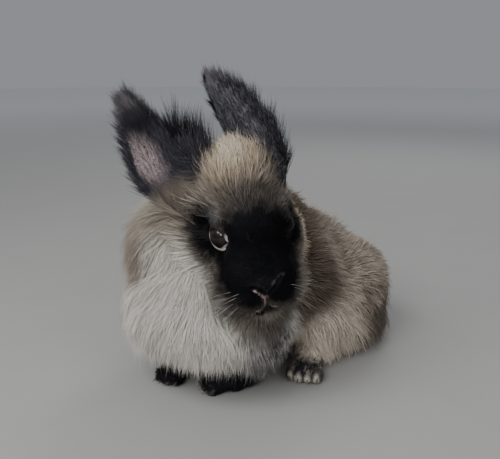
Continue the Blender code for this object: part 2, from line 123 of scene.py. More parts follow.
# The feet: place of each on the floor and its turn, and its toes from side to side.
FOREPAW_AT = {"right": (-13.0, 10.0, 8.0), "left": (24.0, 15.0, -38.0)}
HINDFOOT_AT = {"right": (-50.0, 82.0, -12.0), "left": (46.0, 79.0, 20.0)}
TOES = (-1.5, -0.5, 0.5, 1.5)
FORE_TOES_APART, HIND_TOES_APART = 4.7, 5.7
# The middle of the body from side to side.
BODY_X = 3.0
# Millimetres over which one part of the body passes into the next.
PARTS_BLEND = 3.0
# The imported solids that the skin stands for.
FLESH = [
    "head", "neck", "torso", "tail", "ear_left", "ear_right",
    "foreleg_left", "foreleg_right", "hindleg_left", "hindleg_right",
]


def turn(yaw=0.0, pitch=0.0, roll=0.0):
    """A turn in degrees: roll first, then pitch, then yaw."""
    made = Matrix.Rotation(math.radians(yaw), 4, "Z") @ Matrix.Rotation(math.radians(pitch), 4, "X")
    return made @ Matrix.Rotation(math.radians(roll), 4, "Y")


def head_frame():
    return Matrix.Translation(MM * Vector(HEAD_AT)) @ turn(*HEAD_TURN)


def foot_frame(at):
    """The frame of a foot on the floor, from its place and turn."""
    x, y, yaw = at
    return Matrix.Translation(MM * Vector((x, y, 0))) @ turn(yaw)


def eye_place(side, at=EYE_AT):
    at = Vector(at)
    at.x *= SIDES[side]
    return head_frame() @ (MM * at)


def laid_out_shift():
    """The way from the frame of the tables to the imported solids' frame, told by the left eye."""
    low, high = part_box("eye_left")
    return (low + high) / 2 - eye_place("left", EYE_IN_SOLIDS)


SHIFT = laid_out_shift()


def mass(size, at, yaw=0.0, pitch=0.0):
    """The matrix that makes a unit ball one rounded mass of the given full size."""
    half = [0.5 * MM * one for one in size]
    return Matrix.Translation(MM * Vector(at)) @ turn(yaw, pitch) @ Matrix.Diagonal((*half, 1.0))


def both_sides(masses):
    """The masses of the left side, and the same of the right."""
    flip = Matrix.Diagonal((-1, 1, 1, 1))
    return masses + [flip @ one for one in masses]


def head_masses():
    middle = [
        mass((58, 66, 56), (0, 9, 5)),
        mass((42, 50, 44), (0, -9, 9)),
        mass((42, 54, 52), (0, -13, -5)),
        mass((40, 34, 38), (0, -28, -11)),
        mass((27, 30, 26), (0, -25, -30)),
        mass((15, 10, 10), (0, -42, -7)),
        mass((40, 40, 30), (-1, 7, 29), pitch=-8),
    ]
    side = [
        mass((34, 44, 44), (17, 6, -11)),
        mass((16, 26, 14), (15, -8, 16), yaw=12),
        mass((19, 18, 23), (8, -35.5, -17)),
        mass((27, 42, 36), (13.5, -17, -21)),
    ]
    return [head_frame() @ one for one in middle + both_sides(side)]


def neck_masses():
    return [
        mass((92, 48, 70), (-2, 12, 51)),
        mass((76, 38, 50), (3, -1, 45)),
        mass((40, 54, 42), (36, 20, 45)),
        mass((60, 48, 56), (-19, 22, 85)),
        mass((60, 52, 60), (14, 30, 82)),
    ]


def torso_masses():
    return [
        mass((118, 82, 88), (BODY_X, 46, 56)),
        mass((124, 104, 98), (BODY_X, 72, 56)),
        mass((116, 96, 90), (BODY_X, 114, 50)),
        mass((84, 104, 66), (BODY_X, 60, 90), pitch=-6),
    ]


def foreleg_masses(side):
    out, y = SIDES[side], FOREPAW_AT[side][1]
    paw = foot_frame(FOREPAW_AT[side])
    masses = [
        paw @ mass((20, 32, 15), (0, 0, 6)),
        paw @ mass((21, 24, 30), (0, 12, 15)),
        mass((26, 34, 52), (out * 34, y + 20, 34)),
        mass((34, 44, 50), (out * 38, y + 30, 50)),
    ]
    for toe in TOES:
        masses.append(paw @ mass((6, 12, 9.6), (FORE_TOES_APART * toe, -13.5 + abs(toe), 4.3)))
    return masses


def hindfoot_masses(side):
    foot = foot_frame(HINDFOOT_AT[side])
    masses = [
        foot @ mass((24, 72, 18), (0, 0, 7)),
        foot @ mass((26, 44, 26), (0, 22, 14)),
    ]
    for toe in TOES:
        masses.append(foot @ mass((7, 16, 11), (HIND_TOES_APART * toe, -33 + abs(toe), 4.9)))
    return masses


def haunch_masses(side):
    out = SIDES[side]
    return [
        mass((60, 92, 74), (out * 45 + BODY_X, 119, 40), yaw=out * 6),
        mass((44, 56, 54), (out * 46 + BODY_X, 84, 37), yaw=out * 6),
        mass((56, 88, 46), (out * 45 + BODY_X, 118, 19), yaw=out * 2),
    ]


def tail_masses():
    return [
        mass((34, 26, 42), (BODY_X, 167, 34), pitch=-24),
        mass((26, 26, 28), (BODY_X, 159, 26)),
    ]


def body_tables():
    """Every part of the body with its masses."""
    made = {"head": head_masses(), "neck": neck_masses(), "torso": torso_masses(), "tail": tail_masses()}
    for side in SIDES:
        made["foreleg_" + side] = foreleg_masses(side)
        made["foot_" + side] = hindfoot_masses(side)
        made["haunch_" + side] = haunch_masses(side)
    return made


def ear_frame(side):
    """The ear's frame: Z along it to the tip, Y the way its cup opens."""
    stands = Vector(EAR_STANDS[side]).normalized()
    opens = Vector(EAR_OPENS[side])
    opens = (opens - opens.dot(stands) * stands).normalized()
    made = Matrix((opens.cross(stands), opens, stands)).transposed().to_4x4()
    made.translation = head_frame() @ (MM * Vector(EAR_ROOT[side])) - EAR_SUNK * MM * stands
    return made


def ear_points(side, along, across):
    """Places on the cup for arrays of shares along and across, with their normals out of its back."""
    rolled, eased = EAR_ROLLED
    wrap = np.radians(EAR_CURL[side] + rolled * np.exp(-along / eased))
    swell = 0.45 + 0.55 * np.sin(0.5 * np.pi * np.minimum(1.0, along / 0.5))
    power, bend = EAR_TAPER[side]
    half = 0.5 * EAR_WIDTH * MM * swell * np.clip(1.0 - along**power, 0.0, 1.0) ** bend
    radius = half / wrap
    outer = (across > 0.0) * EAR_TUCK[side] * bell(along, 0.34)
    inner = (across < 0.0) * EAR_SLIM[side] * ease(along, 0.30, 0.75)
    angle = across * wrap * (1.0 - outer - inner)
    high = along * (EAR_LENGTH[side] + EAR_SUNK) * MM
    place = np.stack((radius * np.sin(angle), radius * (1.0 - np.cos(angle)), high), axis=1)
    back = np.stack((np.sin(angle), -np.cos(angle), np.zeros_like(angle)), axis=1)
    return moved(ear_frame(side), place), turned(ear_frame(side), back)


def moved(matrix, points):
    """An array of places moved and turned by a matrix."""
    m = np.array(matrix)
    return points @ m[:3, :3].T + m[:3, 3]


def turned(matrix, vectors):
    """An array of ways turned by a matrix."""
    return vectors @ np.array(matrix)[:3, :3].T


def unit(vectors):
    return vectors / np.maximum(np.linalg.norm(vectors, axis=-1, keepdims=True), 1e-9)


def ease(value, low, high):
    """0 under low and 1 over high, and smooth between them."""
    share = np.clip((value - low) / (high - low), 0.0, 1.0)
    return share * share * (3.0 - 2.0 * share)


def bell(value, width):
    """1 at nothing, and less and less to both sides over a width."""
    return np.exp(-((value / width) ** 2))


def head_places(points):
    """Places in the head's own frame, in millimetres, of places in the tables' frame in metres."""
    return moved(head_frame().inverted(), points) / MM


def shares_of(points):
    """How much each point belongs to each part of the body, as arrays that add up to one."""
    near = {}
    for name, masses in body_tables().items():
        best = None
        for matrix in masses:
            size = np.cbrt(abs(matrix.to_3x3().determinant())) / MM
            away = (np.linalg.norm(moved(matrix.inverted(), points), axis=1) - 1.0) * size
            best = away if best is None else np.minimum(best, away)
        near[name] = best
    least = np.min(list(near.values()), axis=0)
    weights = {name: np.exp(-(away - least) / PARTS_BLEND) for name, away in near.items()}
    total = sum(weights.values())
    return {name: one / total for name, one in weights.items()}


def waves(points, size, seed):
    """A smooth random field of about -1 to 1 whose waves are about the given size in metres."""
    count = 7
    draw = np.random.default_rng(seed)
    value = np.zeros(len(points))
    for _ in range(count):
        way = unit(draw.normal(size=3)) * 2.0 * np.pi / (size * draw.uniform(0.7, 1.5))
        value += np.sin(points @ way + draw.uniform(0.0, 2.0 * np.pi))
    return value / math.sqrt(count)


def new_object(name, mesh, slot=None):
    """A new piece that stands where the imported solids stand."""
    made = bpy.data.objects.new(name, mesh)
    bpy.context.scene.collection.objects.link(made)
    if slot:
        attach(made, "root")
    return made


def mesh_from(name, places, faces):
    """A mesh of one kind of face from arrays."""
    mesh = bpy.data.meshes.new(name)
    corners = faces.shape[1]
    mesh.vertices.add(len(places))
    mesh.vertices.foreach_set("co", np.ascontiguousarray(places, dtype=np.float32).ravel())
    mesh.loops.add(faces.size)
    mesh.loops.foreach_set("vertex_index", np.ascontiguousarray(faces, dtype=np.int32).ravel())
    mesh.polygons.add(len(faces))
    mesh.polygons.foreach_set("loop_start", np.arange(0, faces.size, corners, dtype=np.int32))
    mesh.update(calc_edges=True)
    mesh.validate()
    return mesh


def read(items, name, width, kind=np.float32):
    """One value of many items of a mesh, as the rows of an array."""
    out = np.empty(len(items) * width, kind)
    items.foreach_get(name, out)
    return out.reshape(-1, width)


def places_of(mesh):
    return read(mesh.vertices, "co", 3).astype(float)


def normals_of(mesh):
    return read(mesh.vertex_normals, "vector", 3).astype(float)


def put_places(mesh, places):
    mesh.vertices.foreach_set("co", np.ascontiguousarray(places, dtype=np.float32).ravel())
    mesh.update()


def apply_modifiers(obj):
    bpy.context.view_layer.update()
    graph = bpy.context.evaluated_depsgraph_get()
    mesh = bpy.data.meshes.new_from_object(obj.evaluated_get(graph))
    obj.modifiers.clear()
    obj.data = mesh


def smooth_mesh(obj, rounds, group=""):
    """Smooths a mesh, or only as much of it as a vertex group holds."""
    step = obj.modifiers.new("Smooth", "SMOOTH")
    step.factor = 0.5
    step.iterations = rounds
    step.vertex_group = group
    apply_modifiers(obj)


def eye_axes(side):
    """Unit ways out of the eye, towards the front corner and up, in the tables' frame."""
    look = Vector(EYE_LOOK)
    look.x *= SIDES[side]
    spin = head_frame().to_3x3()
    out = (spin @ look).normalized()
    ahead = spin @ Vector((0.0, -1.0, -0.18))
    ahead = (ahead - ahead.dot(out) * out).normalized()
    return out, ahead, ahead.cross(out) * SIDES[side]


def lid_edge(around):
    """Degrees from the way out to the lid's edge, at turns round the eye from its front corner."""
    front = np.abs((around + np.pi) % (2.0 * np.pi) - np.pi)
    back = np.pi - front
    open_to = 45.0 + 8.0 * np.abs(np.cos(around))
    return open_to + 16.0 * bell(front, 0.30) + 6.0 * bell(back, 0.35)


def about_eye(side, points):
    """Distance from an eye's middle in millimetres, degrees outside its lid's edge, and the way there."""
    out, ahead, above = [np.array(way) for way in eye_axes(side)]
    from_middle = (points - np.array(eye_place(side))) / MM
    distance = np.linalg.norm(from_middle, axis=1)
    ways = from_middle / np.maximum(distance, 1e-6)[:, None]
    around = np.arctan2(ways @ above, ways @ ahead)
    outside = np.degrees(np.arccos(np.clip(ways @ out, -1.0, 1.0))) - lid_edge(around)
    return distance, outside, from_middle


def near_line(x, z, ends):
    """Distance of places in a face's own plane from a line of points."""
    best = np.full(len(x), 1e9)
    for (x0, z0), (x1, z1) in zip(ends, ends[1:]):
        share = ((x - x0) * (x1 - x0) + (z - z0) * (z1 - z0)) / ((x1 - x0) ** 2 + (z1 - z0) ** 2)
        share = np.clip(share, 0.0, 1.0)
        best = np.minimum(best, np.hypot(x - x0 - share * (x1 - x0), z - z0 - share * (z1 - z0)))
    return best


# Lines on the muzzle, as places across and up in the head's frame.
NOSTRILS = {
    "right": [(-1.2, -10.0), (-3.6, -7.6), (-6.2, -7.0)],
    "left": [(1.2, -10.0), (4.0, -8.0), (8.6, -4.2)],
}
CLEFT = [(0.0, -10.0), (0.2, -16.5), (0.0, -23.0)]
NOSE_ARM = [(-7.0, -7.8), (-4.4, -10.6), (-1.2, -13.6)]
MOUTH = {
    "right": [(0.0, -24.5), (-4.0, -27.0), (-7.5, -28.5)],
    "left": [(0.0, -24.5), (4.0, -26.0), (7.5, -26.5)],
}

# Rounded spots with a coat of their own, as places and half sizes in the head's frame: raised fur
# before the left eye, long fur before the right ear's root, and the short fur of the nose.
VEIL = ((12.0, -21.0, 8.0), (8.0, 7.5, 13.0))
TEMPLE = ((-29.0, 1.0, 7.0), (18.0, 18.0, 22.0))
NOSE = ((0.0, -47.0, -10.0), (7.0, 9.0, 8.0))

# The coat's numbers on the head: on its plain parts, and what each of its regions adds.
HEAD_COAT = {
    "inset": (3.6, {"face": -2.4, "bonnet": 0.6, "chin": 1.2, "jowl": 1.0}),
    "rise": (
        4.2,
        {"face": -3.0, "bonnet": 10.5, "chin": 3.0, "jowl": 2.8, "temple": 12.0, "pads": 1.8, "lip": -0.4},
    ),
    "length": (
        13.0,
        {"face": -8.6, "bonnet": 9.0, "chin": 7.0, "jowl": 7.0, "temple": 18.0, "pads": 4.5, "lip": -1.4},
    ),
    "thick": (1.6, {"face": 1.7, "bonnet": 0.6}),
    "wide": (0.36, {"face": -0.10, "bonnet": -0.06}),
}
# The coat's numbers at the lids.
BESIDE_EYE = {"length": 3.2, "rise": 0.9, "inset": 0.8, "wide": 0.26, "thick": 5.0}


def spot_share(h, spot, low, high):
    """1 within a rounded spot and 0 outside, eased between two shares of its half sizes."""
    at, half = spot
    return 1.0 - ease(np.linalg.norm((h - at) / half, axis=1), low, high)


def head_regions(h):
    """How much each place, given in the head's frame, belongs to each region of the head."""
    hx, hy, hz = h.T
    face = ease(-hy, 2.0, 30.0)
    middle = 1.0 - ease(np.abs(hx + 4.0), 10.0, 25.0)
    mouth = np.minimum(near_line(hx, hz, MOUTH["left"]), near_line(hx, hz, MOUTH["right"]))
    lip = ease(-hy, 28.0, 34.0) * (1.0 - ease(mouth, 3.5, 8.5))
    return {
        "face": face,
        "bonnet": ease(hz, 16.0, 44.0) * middle * (1.0 - ease(-hy, 0.0, 28.0)),
        "temple": spot_share(h, TEMPLE, 0.55, 1.15),
        "chin": ease(-hz, 26.0, 36.0) * ease(-hy, 0.0, 14.0),
        "jowl": ease(np.abs(hx), 15.0, 24.0) * ease(-hz, 4.0, 18.0) * ease(-hy, -6.0, 6.0),
        "pads": face * ease(-hz, 11.0, 20.0) * (1.0 - lip),
        "lip": lip,
        "veil": spot_share(h, VEIL, 0.5, 1.2),
        "nose": spot_share(h, NOSE, 0.8, 1.7),
    }


def head_coat(regions):
    """The coat's numbers on the head, from how much each place belongs to each region."""
    made = {}
    for field, (value, changes) in HEAD_COAT.items():
        for region, more in changes.items():
            value = value + more * regions[region]
        made[field] = value
    return made


def coat_fields(points, shares):
    """What the coat does at each point of the body's surface.

    inset is how far the skin lies inside, rise how high the tips stand over the skin, length how long
    the tufts are, wide their width, thick how many stand on a square millimetre, hold how closely they
    follow the skin, clump how far they lean together, stray how unevenly they lie, droop how far they
    hang, and lie the way they point.
    """
    x, _, z = (points / MM).T
    head, neck, torso, tail = [shares[part] for part in ("head", "neck", "torso", "tail")]
    haunch, foreleg, foot = [
        shares[part + "_left"] + shares[part + "_right"] for part in ("haunch", "foreleg", "foot")
    ]
    regions = head_regions(head_places(points))
    on_head = head_coat(regions)
    bonnet, chin, veil = regions["bonnet"], regions["chin"], regions["veil"]
    high = ease(z, 14.0, 34.0)
    skirt = haunch * (1.0 - ease(z, 18.0, 40.0))

    def mixed(head_value, neck_value, torso_value, haunch_value, foreleg_value, foot_value, tail_value):
        body = torso * torso_value + haunch * haunch_value + foreleg * foreleg_value
        return head * head_value + neck * neck_value + body + foot * foot_value + tail * tail_value

    head_hold = 0.9 - 0.6 * np.maximum(bonnet, regions["temple"]) - 0.3 * chin
    neck_length = np.clip((z - 17.0 + 10.0 * ease(x, 42.0, 54.0)) / 1.15, 5.0, 29.0)
    neck_rise = 2.0 + 4.5 * ease(z, 15.0, 60.0)
    neck_hold = 0.8 - 0.45 * ease(z, 25.0, 75.0)
    fields = {
        "inset": mixed(on_head["inset"], 1.6, 4.6, 4.6, 1.2 + 2.4 * high, 1.2, 3.0),
        "rise": mixed(on_head["rise"], neck_rise, 6.0, 5.0 + 2.6 * skirt, 1.8 + 3.0 * high, 1.6, 5.5),
        "length": mixed(on_head["length"], neck_length, 17.0, 13.0 + 10.0 * skirt, 7.0 + 8.0 * high, 6.5, 13.0),
        "wide": mixed(on_head["wide"], 0.25, 0.34, 0.33, 0.36 + 0.06 * high, 0.34, 0.42),
        "thick": mixed(on_head["thick"], 2.15, 0.53, 0.78, 1.4 - 0.5 * high, 1.6, 0.8),
        "hold": mixed(head_hold, neck_hold, 0.9, 0.85, 0.8, 0.9, 0.5),
        "clump": mixed(0.34, 0.30, 0.38, 0.42, 0.4, 0.3, 0.4),
        "stray": 1.0 + 0.8 * neck + 0.8 * head * bonnet,
        "droop": mixed(0.3 * chin, 0.18, 0.05, 0.08 + 0.22 * skirt, 0.2 * high, 0.0, 0.0),
    }
    beside = {}
    for side in SIDES:
        distance, outside, _ = about_eye(side, points)
        close = (1.0 - ease(outside, 14.0, 50.0)) * (1.0 - ease(distance, 13.0, 18.0))
        beside[side] = close
        for name, value in BESIDE_EYE.items():
            fields[name] = fields[name] * (1.0 - close) + value * close
    on_nose = head * regions["nose"]
    fields["length"] = (fields["length"] + 8.0 * veil) * (1.0 - 0.62 * on_nose)
    fields["rise"] = (fields["rise"] + 5.5 * veil) * (1.0 - 0.6 * on_nose)
    fields["hold"] = fields["hold"] * (1.0 - 0.6 * veil)
    fields["lie"] = coat_lie(points, shares, regions, beside)
    return fields


def coat_lie(points, shares, regions, beside):
    """The ways that the tufts point, before they are laid along the skin."""
    h = head_places(points)
    x, y, z = (points / MM).T
    face, bonnet, temple, jowl = [regions[name] for name in ("face", "bonnet", "temple", "jowl")]
    none = np.zeros_like(x)
    from_nose = unit(h - [0.0, -50.0, -6.0])
    down = -0.45 * (1.0 - face) * (1.0 - bonnet) - 0.5 * jowl
    parted = np.stack((0.02 * h[:, 0] * bonnet, none, down), axis=1)
    on_face = from_nose + bonnet[:, None] * [0.0, 0.1, 1.7] + temple[:, None] * [-1.3, -0.1, 0.5] + parted
    head_lie = turned(head_frame(), unit(on_face))
    outward = 0.20 + 0.35 * ease(z, 30.0, 80.0)
    neck_lie = unit(unit(np.stack((x - 8.0, y - 26.0, none), axis=1)) * outward[:, None] + [0.0, 0.0, -1.0])
    side_drop = ease(np.abs(x - BODY_X), 18.0, 58.0)
    torso_lie = unit(np.stack((none, np.ones_like(x), 0.15 - 0.85 * side_drop), axis=1))
    low = 1.0 - ease(z, 15.0, 75.0)
    haunch_lie = unit(np.stack((none, 1.0 - 0.45 * low, -0.35 - 0.75 * low), axis=1))
    haunch = shares["haunch_left"] + shares["haunch_right"]
    lie = shares["head"][:, None] * head_lie + shares["neck"][:, None] * neck_lie
    lie = lie + shares["torso"][:, None] * torso_lie
    lie = lie + haunch[:, None] * haunch_lie + shares["tail"][:, None] * unit(np.array([0.0, 0.5, 1.0]))
    high = ease(z, 14.0, 34.0)
    for side in SIDES:
        toes = np.array(turn(FOREPAW_AT[side][2]).to_3x3() @ Vector((0.0, -1.0, -0.25)))
        down = high[:, None] * [0.0, -0.25, -1.0] + (1.0 - high[:, None]) * toes
        lie = lie + shares["foreleg_" + side][:, None] * unit(down)
        toes = np.array(turn(HINDFOOT_AT[side][2]).to_3x3() @ Vector((0.0, -1.0, -0.25)))
        lie = lie + shares["foot_" + side][:, None] * unit(toes)
    for side, close in beside.items():
        out = np.array(eye_axes(side)[0])
        away = points - np.array(eye_place(side))
        away = unit(away - (away @ out)[:, None] * out)
        combed = close * EYE_COMBED[side]
        lie = lie * (1.0 - combed)[:, None] + away * combed[:, None]
    return lie


# How far from an eye's middle the skin is drawn to it, how far it then lies over the eyeball, and how
# deep under the eyeball's surface it goes on behind the lid's edge.
SOCKET_REACH, SKIN_OVER_EYE, SKIN_BEHIND_EYE = 15.0, 0.75, 2.2


def close_skin(places):
    """Draws the skin over the eyeballs up to the lids' edges, and behind them inside."""
    for side in SIDES:
        distance, outside, from_middle = about_eye(side, places)
        lid = EYE_RADIUS + SKIN_OVER_EYE
        most = lid + 0.10 * np.maximum(outside - 6.0, 0.0) + 100.0 * ease(outside, 30.0, 44.0)
        cover = np.minimum(np.maximum(distance, lid), most)
        behind = np.minimum(distance, EYE_RADIUS - SKIN_BEHIND_EYE)
        wanted = np.where(outside > 7.0, cover, behind)
        ahead = from_middle @ np.array(eye_axes(side)[0]) > -2.0
        scale = np.where((distance < SOCKET_REACH) & ahead, wanted / np.maximum(distance, 1e-6), 1.0)
        places = np.array(eye_place(side)) + from_middle * scale[:, None] * MM
    return places


def cut_muzzle(places):
    """Presses the nostrils, the cleft and the line of the mouth into the muzzle, and raises the lips."""
    hx, hy, hz = head_places(places).T
    front = ease(-hy, 31.0, 36.0)
    sunk = np.zeros(len(places))
    for side in SIDES:
        gap = near_line(hx, hz, NOSTRILS[side])
        sunk += 2.3 * bell(gap, 0.75) * ease(-hy, 38.0, 41.0)
        sunk -= 0.9 * bell(gap - 2.0, 0.9) * ease(-hy, 36.0, 40.0)
        gap = near_line(hx, hz, MOUTH[side])
        sunk += 3.0 * bell(gap, 1.1) * front
        sunk -= 0.6 * bell(gap - 2.6, 1.2) * front
    sunk += 1.5 * bell(near_line(hx, hz, CLEFT), 0.7) * front
    into = unit(turned(head_frame(), np.array([[0.0, 1.0, 0.25]])))
    return places + into * sunk[:, None] * MM


def unit_ball():
    """The places and triangles of a fine ball of radius 1."""
    shape = bmesh.new()
    bmesh.ops.create_icosphere(shape, subdivisions=4, radius=1.0)
    places = np.array([vert.co[:] for vert in shape.verts])
    faces = np.array([[vert.index for vert in face.verts] for face in shape.faces])
    shape.free()
    return places, faces


# The skin's finest step while its masses are fused, and how high its soles lie over the floor.
SKIN_STEP, SKIN_OVER_FLOOR = 1.45, 0.4


def make_skin_mesh():
    """The whole body as one fine closed form, inside the solids by the coat's depth."""
    ball_places, ball_faces = unit_ball()
    places, faces = [], []
    for masses in body_tables().values():
        for matrix in masses:
            flipped = matrix.determinant() < 0.0
            faces.append((ball_faces[:, ::-1] if flipped else ball_faces) + len(places) * len(ball_places))
            places.append(moved(matrix, ball_places))
    skin = new_object("skin", mesh_from("skin", np.concatenate(places), np.concatenate(faces)))
    fuse = skin.modifiers.new("Fuse", "REMESH")
    fuse.mode = "VOXEL"
    fuse.voxel_size = SKIN_STEP * MM
    apply_modifiers(skin)
    smooth_mesh(skin, 10)
    places, normals = places_of(skin.data), normals_of(skin.data)
    shares = shares_of(places)
    soft = skin.vertex_groups.new(name="soft")
    broad = shares["torso"] + shares["haunch_left"] + shares["haunch_right"] + 0.6 * shares["neck"]
    broad = np.clip(broad, 0.0, 1.0)
    for level in range(1, 11):
        ones = np.nonzero(np.round(broad * 10) == level)[0]
        soft.add(ones.tolist(), level / 10.0, "REPLACE")
    inset = coat_fields(places, shares)["inset"]
    put_places(skin.data, places - normals * inset[:, None] * MM)
    smooth_mesh(skin, 30, "soft")
    smooth_mesh(skin, 3)
    skin.vertex_groups.clear()
    refine(skin)
    places = cut_muzzle(close_skin(places_of(skin.data)))
    places[:, 2] = np.maximum(places[:, 2], SKIN_OVER_FLOOR * MM)
    put_places(skin.data, places)
    return skin


def refine(skin):
    """Splits the faces round the eyes and on the front of the muzzle."""
    places = places_of(skin.data)
    h = head_places(places)
    wanted = (h[:, 1] < -33.0) & (h[:, 2] > -36.0) & (h[:, 2] < 0.0) & (np.abs(h[:, 0]) < 14.0)
    for side in SIDES:
        distance, outside, _ = about_eye(side, places)
        wanted |= (distance < 14.0) & (outside < 34.0)
    shape = bmesh.new()
    shape.from_mesh(skin.data)
    shape.verts.ensure_lookup_table()
    chosen = {shape.verts[int(index)] for index in np.nonzero(wanted)[0]}
    edges = {edge for vert in chosen for face in vert.link_faces for edge in face.edges}
    bmesh.ops.subdivide_edges(shape, edges=list(edges), cuts=2, use_grid_fill=True)
    bmesh.ops.triangulate(shape, faces=[face for face in shape.faces if len(face.verts) > 4])
    shape.to_mesh(skin.data)
    shape.free()


def unwrap(obj):
    """Lays the mesh out flat by its own shape, for the tufts' places on the bake."""
    for other in bpy.context.view_layer.objects:
        other.select_set(False)
    obj.select_set(True)
    bpy.context.view_layer.objects.active = obj
    obj.data.uv_layers.new(name="OFBake")
    bpy.ops.object.mode_set(mode="EDIT")
    bpy.ops.mesh.select_all(action="SELECT")
    bpy.ops.uv.smart_project(angle_limit=math.radians(66.0), island_margin=0.002)
    bpy.ops.object.mode_set(mode="OBJECT")
    obj.select_set(False)


def bare_of_fur(places):
    """Which places have no fur: the soles, inside the lids' edges, and along the muzzle's lines."""
    bare = places[:, 2] < 1.6 * MM
    for side in SIDES:
        distance, outside, _ = about_eye(side, places)
        bare |= (distance < 14.0) & (outside < 11.0)
    hx, hy, hz = head_places(places).T
    line = np.full(len(places), 1e9)
    for ends in (*NOSTRILS.values(), NOSE_ARM):
        line = np.minimum(line, near_line(hx, hz, ends))
    for ends in (CLEFT, *MOUTH.values()):
        line = np.minimum(line, near_line(hx, hz, ends) - 1.0)
    return bare | ((hy < -36.0) & (line < 1.0))


def scattered(mesh, seed, share):
    """Roots on the skin without the ears: their places, normals and places on the unwrap."""
    mesh.calc_loop_triangles()
    corner = read(mesh.loop_triangles, "vertices", 3, np.int32)
    loops = read(mesh.loop_triangles, "loops", 3, np.int32)
    on_ear = read(mesh.loop_triangles, "material_index", 1, np.int32)[:, 0] > 0
    laid = read(mesh.uv_layers["OFBake"].data, "uv", 2)
    places, normals = places_of(mesh), normals_of(mesh)
    a, b, c = places[corner[:, 0]], places[corner[:, 1]], places[corner[:, 2]]
    area = 0.5 * np.linalg.norm(np.cross(b - a, c - a), axis=1) / MM**2
    middle = (a + b + c) / 3.0
    thick = coat_fields(middle, shares_of(middle))["thick"]
    wanted = area * (np.where(bare_of_fur(middle) | on_ear, 0.0, thick) * share)
    draw = np.random.default_rng(seed)
    chosen = draw.choice(len(area), size=int(wanted.sum()), p=wanted / wanted.sum())
    first, second = draw.random(len(chosen)), draw.random(len(chosen))
    over = first + second > 1.0
    first, second = np.where(over, 1.0 - first, first), np.where(over, 1.0 - second, second)
    blend = np.stack((1.0 - first - second, first, second), axis=1)[:, :, None]
    roots = (places[corner[chosen]] * blend).sum(axis=1)
    outs = unit((normals[corner[chosen]] * blend).sum(axis=1))
    flat = (laid[loops[chosen]] * blend).sum(axis=1)
    return roots, outs, flat


# How deep a tuft is rooted under the skin, and how high it stays over the floor.
TUFT_SUNK, TUFT_OVER_FLOOR = 0.4, 0.6
# Turns in the lie of the coat: strength, and size in metres.
SWIRLS = ((0.24, 0.018), (0.20, 0.006))
# The least share of its height that a tuft keeps over the skin.
LEAST_HEIGHT = 0.4
# Of how many tufts one leads a clump.
CLUMP_OF = 6


def tufts_along(roots, outs, fields, tree, seed, rings):
    """The middle lines of the tufts: one array of places for each share of their length."""
    draw = np.random.default_rng(seed)
    count = len(roots)
    lie = fields["lie"]
    lie = unit(lie - (lie * outs).sum(axis=1, keepdims=True) * outs)
    across = np.cross(lie, outs)
    swirl = sum(strength * waves(roots, size, seed + one) for one, (strength, size) in enumerate(SWIRLS))
    stray = (swirl + draw.normal(0.0, 0.15, count)) * fields["stray"]
    lie = unit(lie + across * stray[:, None])
    scale = draw.uniform(0.72, 1.12, count) * (1.0 + 0.10 * waves(roots, 0.011, seed + 2))
    length = fields["length"] * scale * MM
    high = draw.uniform(0.5, 1.1, count) + 0.9 * draw.random(count) ** 9
    rise = np.minimum(fields["rise"] * high * MM, 0.94 * length)
    ahead = np.sqrt(length**2 - rise**2)
    lines = [roots - TUFT_SUNK * MM * outs]
    heights = [np.full(count, -TUFT_SUNK * MM)]
    for share in rings[1:]:
        high = rise * np.sin(0.5 * np.pi * share)
        place = roots + lie * (ahead * share)[:, None] + outs * high[:, None]
        place[:, 2] -= fields["droop"] * length * share**2
        lines.append(place)
        heights.append(high)

    group = clumps(roots, draw, CLUMP_OF)
    for number, share in enumerate(rings[1:], 1):
        place = lines[number]
        pull = (fields["clump"] * share**1.5)[:, None]
        lines[number] = place + pull * (place[group] + 0.30 * (roots - roots[group]) - place)

    for number in range(1, len(rings)):
        place, high = lines[number], heights[number]
        near, normal = nearest_on(tree, place)
        over = ((place - near) * normal).sum(axis=1)
        least = LEAST_HEIGHT * high
        hold = fields["hold"]
        wanted = np.where(over < least, least, over * (1.0 - hold) + high * hold)
        keep = np.where(over < least, 1.0, hold)[:, None]
        place = place * (1.0 - keep) + (near + normal * wanted[:, None]) * keep
        place[:, 2] = np.maximum(place[:, 2], TUFT_OVER_FLOOR * MM)
        lines[number] = place
    return lines


def nearest_on(tree, places):
    """The nearest places on a tree of faces, and the faces' normals there."""
    found = np.empty((len(places), 6))
    for index, point in enumerate(places.tolist()):
        near, normal, _, _ = tree.find_nearest(point)
        found[index, :3] = near
        found[index, 3:] = normal
    return found[:, :3], found[:, 3:]


def clumps(roots, draw, of):
    """For each root, the root whose tuft it leans to."""
    chosen = draw.choice(len(roots), size=max(1, len(roots) // of), replace=False)
    tree = KDTree(len(chosen))
    for number, index in enumerate(chosen):
        tree.insert(roots[index], number)
    tree.balance()
    return np.array([chosen[tree.find(point)[1]] for point in roots.tolist()])


# A tuft's section: shares of its width at the root, middle and upper rings, its depth as a share of its
# width, and the size and three turns in radians of the mark that its section leaves on the bake.
TUFT_BREADTHS = (0.85, 1.0, 0.72)
TUFT_DEPTH = 0.4
TUFT_ON_BAKE = 0.0015
TUFT_TURNS = (1.57, 3.67, 5.76)


def tuft_faces(body):
    """The triangles of one tuft with so many rings of three corners under its tip."""
    sides = ((0, 1), (1, 2), (2, 0))
    faces = [(2, 1, 0)]
    for ring in range(body - 1):
        low, high = 3 * ring, 3 * ring + 3
        for here, after in sides:
            faces.append((low + here, low + after, high + after))
            faces.append((low + here, high + after, high + here))
    for here, after in sides:
        faces.append((3 * body - 3 + here, 3 * body - 3 + after, 3 * body))
    return np.array(faces)


